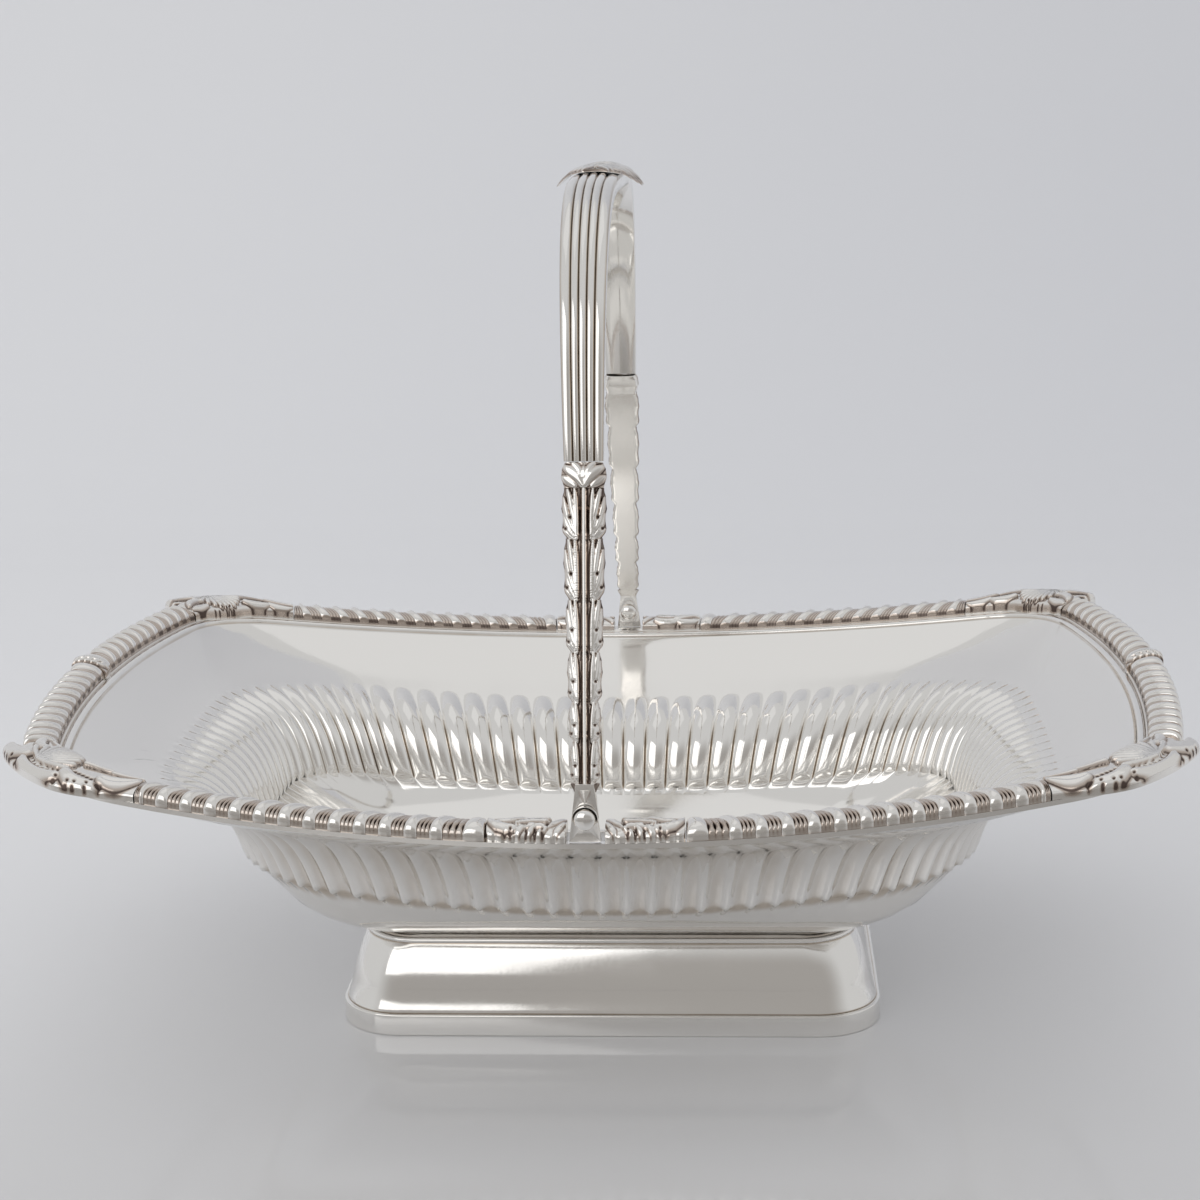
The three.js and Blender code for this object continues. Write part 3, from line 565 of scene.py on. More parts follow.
@dataclass(frozen=True)
class Silver:
    """Silver with soft wear on its surfaces and brown oxide in its recesses.

    Attributes:
        name: Name of the material.
        metal, oxide, veil: Colours of clean silver, of deep tarnish and of thin tarnish beside it; the
            veil also serves as the painted reflection of the floor in the bowl's outside hollows.
        roughness, oxide_roughness: Roughness of clean silver, and what the tarnish adds to it.
        dark_below, clean_above: Relief under which all is oxide, and over which all is clean.
        waviness, scratch: Depths of the planished unevenness and the polishing marks, in metres.
        clouds, marks, waves: Where tarnish and polish vary, those marks and that unevenness.
        cloud_wear, veil_span: Relief that the clouds add or take, and between veil and clean metal.
        cloud_span: Values of the clouds between which the roughness changes.
        polish_span: Roughness there, as shares of the roughness of clean silver.
        grain: How much the marks change the roughness.
    """

    name: str
    metal: Colour
    oxide: Colour
    veil: Colour
    roughness: float
    oxide_roughness: float
    dark_below: float
    clean_above: float
    waviness: float
    scratch: float
    clouds: Noise = Noise(55.0, 4.0, 0.55)
    marks: Noise = Noise(900.0, 3.0, 0.6)
    waves: Noise = Noise(38.0, 2.0, 0.4)
    cloud_wear: float = 0.35
    veil_span: float = 0.45
    cloud_span: tuple[float, float] = (0.3, 0.7)
    polish_span: tuple[float, float] = (0.82, 1.2)
    grain: float = 0.08

    def make(self) -> bpy.types.Material:
        """Makes the material from its nodes.

        Returns:
            The new material.
        """
        material, nodes, shader = shaded(self.name, Metallic=1.0, IOR=1.5)
        place = nodes.add("ShaderNodeTexCoord").outputs["Object"]
        relief = nodes.add("ShaderNodeAttribute", attribute_name=RELIEF).outputs["Fac"]
        cloud = self.clouds.value(nodes, place)
        fine = self.marks.value(nodes, place)
        relief_and_wear = nodes.math("ADD", relief, self._spread(nodes, cloud, self.cloud_wear))
        clean = nodes.ramp(relief_and_wear, self.dark_below, self.clean_above)
        thin = nodes.ramp(relief_and_wear, self.clean_above, self.clean_above + self.veil_span)
        # Veil and clean metal: thin tarnish, and in the bowl's outside hollows a painted reflection of
        # the floor in front.
        tarnish = nodes.blend(thin, self.veil, self.metal)
        nodes.link(nodes.blend(clean, self.oxide, tarnish), shader.inputs["Base Color"])
        smooth, coarse = (self.roughness * share for share in self.polish_span)
        patch = nodes.ramp(cloud, *self.cloud_span, smooth, coarse)
        polished = nodes.math("ADD", patch, self._spread(nodes, fine, self.grain))
        dull = nodes.math("MULTIPLY", nodes.math("SUBTRACT", 1.0, clean), self.oxide_roughness)
        nodes.link(nodes.math("ADD", polished, dull, clamp=True), shader.inputs["Roughness"])
        waves = nodes.add("ShaderNodeBump", Strength=1.0, Distance=self.waviness)
        nodes.link(self.waves.value(nodes, place), waves.inputs["Height"])
        marks = nodes.add("ShaderNodeBump", Strength=1.0, Distance=self.scratch)
        nodes.link(fine, marks.inputs["Height"])
        nodes.link(waves.outputs["Normal"], marks.inputs["Normal"])
        nodes.link(marks.outputs["Normal"], shader.inputs["Normal"])
        return material

    @staticmethod
    def _spread(nodes: NodeTree, noise: bpy.types.NodeSocket, amount: float) -> bpy.types.NodeSocket:
        """A noise's value, moved to both sides of 0 and made as strong as the amount says."""
        return nodes.math("MULTIPLY", nodes.math("SUBTRACT", noise, 0.5), amount)


POLISHED = Silver(
    name="polished_silver",
    metal=(0.905, 0.89, 0.865),
    oxide=(0.13, 0.095, 0.07),
    veil=(0.62, 0.555, 0.48),
    roughness=0.1,
    oxide_roughness=0.25,
    dark_below=0.05,
    clean_above=0.35,
    waviness=0.00008,
    scratch=0.000004,
)
CAST = Silver(
    name="cast_silver",
    metal=(0.9, 0.88, 0.85),
    oxide=(0.12, 0.09, 0.078),
    veil=(0.57, 0.49, 0.43),
    roughness=0.13,
    oxide_roughness=0.3,
    dark_below=0.12,
    clean_above=0.42,
    waviness=0.00008,
    scratch=0.000006,
)


class Workshop:
    """Keeps the finishes and hands pieces over to the frame."""

    def __init__(self) -> None:
        """Makes the two finishes."""
        self.finishes = {Slot.POLISHED: POLISHED.make(), Slot.CAST: CAST.make()}

    def skin(
        self, name: str, surface: Surface, sharp: float, slot: Slot, carrier: Carrier, *nodes: str
    ) -> None:
        """Makes a piece from its points and relief, and hands it over."""
        self.hand_over(skin(name, *surface, sharp), slot, carrier, *nodes)

    def hand_over(self, piece: bpy.types.Object, slot: Slot, carrier: Carrier, *nodes: str) -> None:
        """Finishes a piece and says what it moves with and stands for.

        Args:
            piece: The piece.
            slot: The slot that it takes its finish from.
            carrier: The body that it moves with.
            *nodes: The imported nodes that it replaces.
        """
        piece.data.materials.clear()
        piece.data.materials.append(self.finishes[slot])
        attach(piece, carrier.value)
        if nodes:
            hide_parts(*nodes)
        LOG.info("%s: %d faces on %s", piece.name, len(piece.data.polygons), carrier.value)


# Rim


@dataclass(frozen=True)
class Rim:
    """The line under the middle of the border, which everything along the edge is placed on.

    Attributes:
        plan: Its plan.
        seat: Its height at the middles of the long sides.
        saddle: How much higher the ends are.
        gap: Room between the seat and the castings on it.
    """

    plan: Plan = Plan(172.0, 127.0, 41.0, 1 / 700, 1 / 450)
    seat: float = 90.6
    saddle: float = 15.2
    gap: float = 0.3

    def height(self, x: Array) -> Array:
        """Height of the border's seat at a distance from the middle."""
        return self.seat + self.saddle * (x / self.plan.half_length) ** 2

    def lengths(self) -> tuple[float, float, float]:
        """Lengths of a quarter's three arcs."""
        return self.plan.arc_lengths()

    def quarter(self) -> float:
        """Length of a quarter of the rim."""
        return sum(self.lengths())

    def corner_middle(self) -> float:
        """Distance along a quarter to the middle of its corner."""
        long, corner, _ = self.lengths()
        return long + corner / 2

    def place(self, distance: Array, across: Array, up: Array) -> Array:
        """Points along the rim.

        Args:
            distance: Distance round the rim from the front middle towards the right end.
            across: Distance outwards from the line.
            up: Height over the seat.

        Returns:
            Points, with a last axis of three.
        """
        distance, across, up = np.broadcast_arrays(distance, across, up)
        point, normal = self.plan.around(distance, self.lengths())
        spot = point + normal * across[..., None]
        return np.concatenate([spot, (self.height(spot[..., 0]) + self.gap + up)[..., None]], axis=-1)


RIM = Rim()


@dataclass(frozen=True)
class Stretch:
    """A stretch of the rim with distances of its own.

    Attributes:
        origin: Distance round the rim that they are counted from.
        sign: 1 when they run with the rim, and -1 when they run against it.
    """

    origin: float
    sign: int = 1

    def place(self, along: Array, across: Array, up: Array) -> Array:
        """Points along the stretch, as the rim places them."""
        return RIM.place(self.origin + self.sign * along, across, up)


BORDER_HALF = 5.2
BORDER_HEIGHT = 4.8


# Bowl


@dataclass
class BowlSheet:
    """The bowl: one sheet with a flat well, a plain belly, fluted sides, a flange and a fillet.

    Its flutes are hollows outside and lobes inside. A place up the sheet is 0 at the well's edge, 1 at
    the flutes' feet, 2 at their tops and 3 at the fillet. A phase runs from 0 to 1 across a flute. A plan
    has seven sizes: half length, half width, corner, bends of sides and ends, height, and rise of its
    ends.

    Attributes:
        shop: Where the sheet gets its finish.
        sheet: Thickness.
        fillet_width: Width of the fillet beside the border.
        fillet_gap: How much narrower its bead is.
        fillet_drop: How far below the border's seat the flange ends.
        well, belly, foot, top, flange: Sizes of the plans up the sheet.
        well_slope: How the sizes change at the well's edge.
        belly_place, flange_place: Places of the plans on the belly and the flange.
        waist: How far the fluted wall bends inwards.
        flute_depth: Depth of the flutes.
        flutes: Flutes in each of a quarter's three arcs.
        full_from: Share of the wall over which the flutes deepen at their feet.
        hollow_arch, lobe_arch: Heights of the arched tops, as shares of the wall.
        lobe_lift: How far the lobes reach over the hollows.
        hollow_power, lobe_power: Form of the sections, where 0.5 is a half circle.
        hollow_fade, lobe_fade: What is added to that towards the tops.
        hollow_fade_from, lobe_fade_from: Share of the wall where that starts.
        land: Share of a flute's outline that stays plain round its hollow.
        outer_draw, inner_draw: How far the belly moves to meet the flutes, as shares of their depth.
        draw_from: Place on the belly where that starts.
        foot_line: Half height of the tarnished line along the flutes' feet.
        foot_tarnish, hollow_painted_reflection, valley_tarnish: Tarnish of that line and of the valleys,
        and the painted reflection of the floor in the outside hollows.
        well_share: Size of the innermost ring, as a share of the well.
        phases: Phases of a flute's columns.
        belly_rings, wall_rings, flange_rings: Rings on each stretch of the sheet.
        wall_crowding, flange_crowding: Powers that bring rings together at their stretch's lower end.
    """

    shop: Workshop
    sheet: float = 1.4
    fillet_width: float = 2.8
    fillet_gap: float = 0.4
    fillet_drop: float = 1.7
    well: tuple[float, ...] = (78.0, 42.0, 17.0, STRAIGHT_BEND, STRAIGHT_BEND, 31.6, 0.0)
    belly: tuple[float, ...] = (93.0, 56.5, 20.0, STRAIGHT_BEND, STRAIGHT_BEND, 38.1, 5.0)
    foot: tuple[float, ...] = (117.0, 67.0, 36.0, 1 / 1400, 1 / 800, 44.4, 25.0)
    top: tuple[float, ...] = (140.5, 87.6, 48.0, 1 / 1400, 1 / 800, 71.8, 20.3)
    flange: tuple[float, ...] = (152.5, 104.0, 44.0, 1 / 1000, 1 / 560, 78.8, 17.4)
    well_slope: tuple[float, ...] = (17.0, 16.0, 3.0, 0.0, 0.0, 0.0, 0.0)
    belly_place: float = 0.56
    flange_place: float = 2.5
    waist: float = 4.2
    flute_depth: float = 2.4
    flutes: tuple[int, int, int] = (11, 10, 5)
    full_from: float = 0.05
    hollow_arch: float = 0.15
    lobe_arch: float = 0.45
    lobe_lift: float = 0.04
    hollow_power: float = 1.0
    lobe_power: float = 0.5
    hollow_fade: float = 0.7
    hollow_fade_from: float = 0.8
    lobe_fade: float = 0.7
    lobe_fade_from: float = 0.3
    land: float = 0.22
    outer_draw: float = 0.95
    inner_draw: float = 0.5
    draw_from: float = 0.68
    foot_line: float = 0.03
    foot_tarnish: float = 0.55
    # The outside hollows are painted a warm grey: a painted reflection of the floor in front.
    hollow_painted_reflection: float = 0.42
    valley_tarnish: float = 0.68
    well_share: float = 0.97
    phases: tuple[float, ...] = (0.0, 0.035, 0.085, 0.17, 0.32, 0.5, 0.68, 0.83, 0.915, 0.965)
    belly_rings: int = 7
    wall_rings: int = 19
    wall_crowding: float = 1.15
    flange_rings: int = 10
    flange_crowding: float = 1.5

    def build(self) -> None:
        """Builds the sheet and hands it over."""
        steps = self._steps()
        outside, hollows = self._face(steps, inner=False)
        inside, valleys = self._face(steps, inner=True)
        edge, edge_relief = self._edge(steps)
        points = np.concatenate([outside, edge, inside[::-1]], axis=0)
        relief = np.concatenate([hollows, edge_relief, valleys[::-1]], axis=0)
        surface = (closed(points), closed(relief))
        self.shop.skin("fluted_bowl", surface, 75.0, Slot.POLISHED, Carrier.BASKET, "bowl")

    def _steps(self) -> Array:
        """Flute counts of the columns, round the whole bowl."""
        total = 4 * sum(self.flutes)
        return (np.arange(total)[:, None] + np.array(self.phases)[None, :]).reshape(-1)

    def _rows(self, places: Array) -> Array:
        """Sizes of the sheet's plans.

        Args:
            places: Places up the sheet.

        Returns:
            The seven sizes at each place, along a last axis.
        """
        foot = np.array(self.foot)
        top = np.array(self.top)
        rim = RIM.plan.grown(-BORDER_HALF - self.fillet_width)
        height = RIM.seat - self.fillet_drop - self.sheet
        bends = (rim.long_bend, rim.end_bend)
        edge = (rim.half_length, rim.half_width, rim.corner, *bends, height, RIM.saddle)
        inwards = np.array([-1.0, -1.0, -1.0, 0.0, 0.0, 1.0, 0.0])
        wall_slope = top - foot - np.pi * self.waist * inwards
        below_flutes = [self.well, self.belly, self.foot]
        lower = Spline.through([0.0, self.belly_place, 1.0], below_flutes, self.well_slope)
        upper = Spline.through([2.0, self.flange_place, 3.0], [self.top, self.flange, edge], wall_slope)
        share = np.clip(places - 1, 0.0, 1.0)[..., None]
        wall = foot + (top - foot) * share + self.waist * np.sin(np.pi * share) * inwards
        below = lower.at(np.clip(places, 0.0, 1.0))
        above = upper.at(np.clip(places, 2.0, 3.0))
        place = places[..., None]
        rows = np.where(place <= 1, below, np.where(place <= 2, wall, above))
        rows[..., 3:5] = np.maximum(rows[..., 3:5], STRAIGHT_BEND)
        return rows

    def _levels(self, phase: Array, lift: float) -> Array:
        """Places of the rings up the sheet, which bend round the arched tops of the flutes.

        Args:
            phase: Phase of each column.
            lift: How far the arches rise over the line of the flutes' tops.

        Returns:
            A place for each ring and column.
        """
        dome = half_round(2 * phase - 1)
        high = 2 + lift - self.hollow_arch * (1 - dome)
        belly = np.linspace(0, 1, self.belly_rings, endpoint=False)[:, None] * np.ones_like(phase)
        spread = np.linspace(0, 1, self.wall_rings) ** self.wall_crowding
        spread = np.sort(np.append(spread, [self.full_from / 3, self.full_from]))
        wall = 1 + (high - 1) * spread[:, None]
        share = np.linspace(0, 1, self.flange_rings + 1)[1:, None] ** self.flange_crowding
        flange = high + (3 - high) * share
        return np.concatenate([belly, wall, flange], axis=0)

    def _face(self, steps: Array, inner: bool) -> Surface:
        """One face of the sheet.

        Args:
            steps: Flute counts of the columns.
            inner: Whether it is the inside of the bowl.

        Returns:
            Its rings of points from the well to the fillet, and their relief.
        """
        phase = np.mod(steps, 1.0)
        arch = self.lobe_arch if inner else self.hollow_arch
        lift = self.lobe_lift if inner else 0.0
        places = self._levels(phase, lift)
        rows = self._rows(places)
        reach = 0.02
        ahead = self._rows(np.minimum(places + reach, 3.0))
        behind = self._rows(np.maximum(places - reach, 0.0))
        slope = np.arctan2(ahead[..., 5] - behind[..., 5], ahead[..., 1] - behind[..., 1])
        plan = Plan(*(rows[..., i] for i in range(5)))
        point, normal = plan.around(np.broadcast_to(steps, places.shape), self.flutes)
        height = rows[..., 5] + rows[..., 6] * (point[..., 0] / RIM.plan.half_length) ** 2
        over = np.maximum(0.0, (places - (2 + lift - arch)) / arch)
        inside = np.clip(1 - (2 * phase - 1) ** 2 - over**2, 0.0, 1.0)
        if inner:
            power = self.lobe_power + self.lobe_fade * ease(self.lobe_fade_from, 1.0, places - 1)
        else:
            power = self.hollow_power + self.hollow_fade * ease(self.hollow_fade_from, 1.0, places - 1)
            inside = np.clip((inside - self.land) / (1 - self.land), 0.0, 1.0)
        footed = np.clip((places - 1) / self.full_from, 0.0, 1.0)
        drawn = (self.inner_draw if inner else self.outer_draw) * ease(self.draw_from, 1.0, places)
        share = drawn + (inside**power - drawn) * footed
        depth = self.flute_depth * share * np.sqrt(0.5)
        thickness = self.sheet if inner else 0.0
        inward = depth + thickness * np.sin(slope)
        upward = depth + thickness * np.cos(slope)
        spot = point - normal * inward[..., None]
        surface = np.concatenate([spot, (height + upward)[..., None]], axis=-1)
        innermost = surface[:1].copy()
        innermost[..., :2] *= self.well_share
        relief = 1 - self._tarnish_and_painted_reflection(places, inside, inner)
        surface = np.concatenate([innermost, surface], axis=0)
        return surface, np.concatenate([np.ones((1, len(steps))), relief], axis=0)

    def _tarnish_and_painted_reflection(self, places: Array, inside: Array, inner: bool) -> Array:
        """How dark each point is: tarnish between the lobes inside and at the flutes' feet outside, and a
        painted reflection in the outside hollows.

        Args:
            places: Places up the sheet.
            inside: How far inside its flute's outline each point is.
            inner: Whether it is the inside of the bowl.

        Returns:
            The tarnish and painted reflection, from 0 to 1.
        """
        share = places - 1
        within = ease(-0.06, 0.04, share) * (1 - ease(0.95, 1.1, share))
        if not inner:
            line = np.exp(-((share / self.foot_line) ** 2))
            # Tarnish along the flutes' feet, and a painted reflection of the floor in the hollows.
            return (self.foot_tarnish * line + self.hollow_painted_reflection * np.sqrt(inside)) * within
        valley = 1 - ease(0.0, 0.3, inside)
        return self.valley_tarnish * valley * within * (1 - ease(0.35, 0.85, share))

    def _edge(self, steps: Array) -> Surface:
        """The edge under the border, and the rounded fillet beside it.

        Args:
            steps: Flute counts of the columns.

        Returns:
            Its rings of points from the outside to the fillet's inner side, and their relief.
        """
        half = BORDER_HALF
        bead_half = (self.fillet_width - self.fillet_gap) / 2
        bead_middle = -half - 0.35 - bead_half
        section = [
            (half, -self.sheet, 1.0),
            (half, 0.0, 1.0),
            (-half, 0.0, 0.6),
            (-half - 0.15, -0.55, 0.25),
            (-half - 0.35, -0.6, 0.4),
        ]
        for turn in np.linspace(0, np.pi, 8):
            across = bead_middle + bead_half * math.cos(turn)
            up = -0.7 + 0.85 * math.sin(turn) ** 0.7
            section.append((across, up, 0.65 + 0.35 * math.sin(turn)))
        section.append((-half - self.fillet_width - 0.25, -1.25, 0.45))
        rings = []
        for across, up, _ in section:
            point, _ = RIM.plan.grown(across).around(steps, self.flutes)
            rings.append(np.concatenate([point, (RIM.height(point[:, 0]) + up)[:, None]], axis=-1))
        relief = np.array([shade for _, _, shade in section])[:, None] * np.ones(len(steps))
        return np.array(rings), relief


# Foot


@dataclass
class Foot:
    """The hollow foot: a wall that draws in towards the bowl, and the upright band that it stands on.

    Attributes:
        shop: Where both pieces get their finish.
        half_length, half_width, corner: The band's plan.
        corner_draw: How much the corners' radius loses for each millimetre of inset.
        band_height, band_thickness, band_round: Sizes of the band, and radius of its top edge.
        wall: Thickness of the wall.
        step: How far the wall stands inside the band's face.
        shoulder, shoulder_power: How far the wall draws in, and how squarely it turns.
        flare, flare_share: How far its foot flares, and over what share of its height.
        head: Height of its upper edge.
        bead, bead_inset: Radius and inset of the bead of solder under the bowl.
        bead_start, bead_end: How far the bead's edges lie from that inset.
        bead_lift: How far its middle stands over its outer edge.
        counts: Steps in each of a quarter's three arcs.
        rings: Points up the wall.
    """

    shop: Workshop
    half_length: float = 86.4
    half_width: float = 51.0
    corner: float = 20.0
    corner_draw: float = 0.3
    band_height: float = 7.0
    band_thickness: float = 2.4
    band_round: float = 0.55
    wall: float = 1.3
    step: float = 1.0
    shoulder: float = 9.3
    shoulder_power: float = 1.65
    flare: float = 1.2
    flare_share: float = 0.3
    head: float = 31.3
    bead: float = 0.9
    bead_inset: float = 8.3
    bead_start: float = 0.4
    bead_end: float = 1.6
    bead_lift: float = 0.75
    counts: tuple[int, int, int] = (26, 20, 14)
    rings: int = 34

    def build(self) -> None:
        """Builds both pieces and hands them over."""
        wall = self._sweep(self._wall_section())
        self.shop.skin("foot_shell", wall, 50.0, Slot.POLISHED, Carrier.BASKET, "foot_wall")
        band = self._sweep(self._band_section())
        self.shop.skin("foot_band", band, 35.0, Slot.POLISHED, Carrier.BASKET, "foot_base_band")

    def _sweep(self, section: list[tuple[float, float, float]]) -> Surface:
        """Sweeps a closed section round the foot.

        Args:
            section: Inset from the band's face, height and relief of each point.

        Returns:
            The surface's points and relief.
        """
        ring = np.array([*section, section[0]])
        steps = np.arange(4 * sum(self.counts) + 1)[None, :]
        inset = ring[:, :1]
        corner = self.corner - inset * self.corner_draw
        plan = Plan(self.half_length - inset, self.half_width - inset, corner)
        point, _ = plan.around(np.broadcast_to(steps, (len(ring), steps.shape[1])), self.counts)
        height = np.broadcast_to(ring[:, 1:2], point.shape[:2])
        relief = np.broadcast_to(ring[:, 2:3], point.shape[:2])
        return np.concatenate([point, height[..., None]], axis=-1), relief

    def _wall_section(self) -> list[tuple[float, float, float]]:
        """The wall's section, up its face, over the solder bead and down its back.

        Returns:
            Inset, height and relief of its points.
        """
        foot = self.band_height + 0.05
        angles = np.linspace(0, np.pi / 2, self.rings)
        rise = np.sin(angles) ** (2 / self.shoulder_power)
        draw = 1 - np.cos(angles) ** (2 / self.shoulder_power)
        above_flare = 1 - np.maximum(0.0, 1 - rise / self.flare_share) ** 2
        inset = self.step + self.flare * above_flare + self.shoulder * draw
        height = foot + (self.head - foot) * rise
        face = [(i, h, 1.0) for i, h in zip(inset, height) if i < self.bead_inset - 0.6]
        face[0] = (self.step + 0.1, foot, 0.2)
        foot_of_bead = float(np.interp(self.bead_inset - self.bead_start, inset, height))
        face.append((self.bead_inset - self.bead_start, foot_of_bead, 0.25))
        bead_middle = foot_of_bead + self.bead_lift
        for turn in np.linspace(-0.2, np.pi * 0.75, 8):
            across = self.bead_inset + 0.2 - self.bead * math.cos(turn)
            up = bead_middle + self.bead * math.sin(turn)
            face.append((across, up, 0.5 + 0.5 * math.cos(turn - 0.6)))
        tops = [(i, h, 0.8) for i, h in zip(inset, height) if i > self.bead_inset + self.bead_end]
        inner_rise = self.head - self.wall - foot
        back = [(i + self.wall, foot + inner_rise * r, 0.8) for i, r in zip(inset, rise)]
        return face + tops[::2] + back[::-2]

    def _band_section(self) -> list[tuple[float, float, float]]:
        """The band's section, up its face, over its rounded top edge and down its back.

        Returns:
            Inset, height and relief of its points.
        """
        top = self.band_height
        inner = self.step + self.band_thickness
        round_off = self.band_round
        edge = [
            (round_off - round_off * math.cos(a), top - round_off + round_off * math.sin(a), 1.0)
            for a in np.linspace(0, np.pi / 2, 5)
        ]
        face = [(0.35, 0.0, 0.5), (0.08, 0.18, 0.7), (0.0, 0.5, 1.0), (0.0, top / 2, 1.0), *edge]
        return [*face, (self.step + 0.05, top, 0.4), (inner, top, 0.6), (inner, 0.0, 0.6)]


# Carving


VEIN_WIDTH = 0.22


@dataclass(frozen=True)
class Stroke:
    """A tapered, rounded ridge along a curved line.

    Attributes:
        start, bend, end: Where it starts, what pulls its middle aside, and its end: along, across.
        width, height: Half its width where it is widest, and its height there over the ground.
        root, tip: Half widths at its start and its end, as shares of width.
        widest: Where it is widest, as a share of its length.
        fall: How much of its height is gone at the end.
        vein: Depth of a groove along its middle, as a share of its height.
    """

    start: tuple[float, float]
    bend: tuple[float, float]
    end: tuple[float, float]
    width: float
    height: float
    root: float = 0.5
    tip: float = 0.15
    widest: float = 0.5
    fall: float = 0.3
    vein: float = 0.0

    def mark(self, along: Array, across: Array, samples: int = 26) -> tuple[Array, Array]:
        """The stroke's height and roundness over a patch.

        Args:
            along: Places along the patch.
            across: Places across it.
            samples: Points that the line is measured at.

        Returns:
            Its height over the ground, and the distance from its line as a share of its half width.
        """
        share = np.linspace(0, 1, samples)
        start, bend, end = (np.array(p) for p in (self.start, self.bend, self.end))
        line = (
            np.outer((1 - share) ** 2, start)
            + np.outer(2 * share * (1 - share), bend)
            + np.outer(share**2, end)
        )
        opening = self.root + (1 - self.root) * np.sin(np.pi / 2 * share / self.widest)
        beyond = np.clip((share - self.widest) / (1 - self.widest), 0, 1)
        closing = self.tip + (1 - self.tip) * np.cos(np.pi / 2 * beyond)
        taper = np.where(share < self.widest, opening, closing)
        away = np.hypot(along[..., None] - line[:, 0], across[..., None] - line[:, 1])
        ratio = away / (self.width * taper)
        nearest = np.argmin(ratio, axis=-1)
        ratio = np.take_along_axis(ratio, nearest[..., None], axis=-1)[..., 0]
        rounded = half_round(np.minimum(ratio, 1.0))
        groove = self.vein * np.exp(-((ratio / VEIN_WIDTH) ** 2))
        height = self.height * (1 - self.fall * share[nearest]) * (rounded - groove)
        return height, ratio


@dataclass(frozen=True)
class Eye:
    """A small drilled hole between leaves: its place, radius and depth."""

    along: float
    across: float
    radius: float
    depth: float


@dataclass
class Carving:
    """A carved ground of strokes and eyes.

    Attributes:
        strokes: Its ridges.
        eyes: Its drilled holes.
        ground: Relief of the ground away from the strokes.
        crease: Width of the dark line beside a stroke, as a share of its half width.
    """

    strokes: list[Stroke]
    eyes: list[Eye] = field(default_factory=list)
    ground: float = 0.62
    crease: float = 0.3

    def mark(self, along: Array, across: Array) -> tuple[Array, Array]:
        """Lays the strokes over one another and drills the eyes.

        Args:
            along: Places along the patch.
            across: Places across it.

        Returns:
            Height over the ground and relief of the carving.
        """
        height = np.zeros(along.shape)
        relief = np.full(along.shape, self.ground)
        for stroke in self.strokes:
            rise, ratio = stroke.mark(along, across)
            wins = rise > height
            beside = self.ground * np.clip((ratio - 1) / self.crease, 0.15, 1.0)
            bare = np.where(height > 0, relief, np.minimum(relief, beside))
            relief = np.where(wins, half_round(np.minimum(ratio, 1.0)), bare)
            height = np.where(wins, rise, height)
        for eye in self.eyes:
            away = np.hypot(along - eye.along, across - eye.across) / eye.radius
            dip = np.exp(-(away**2))
            height = height - eye.depth * dip
            relief = relief * (1 - np.exp(-((away / 1.1) ** 4)))
        return height, relief


# Border


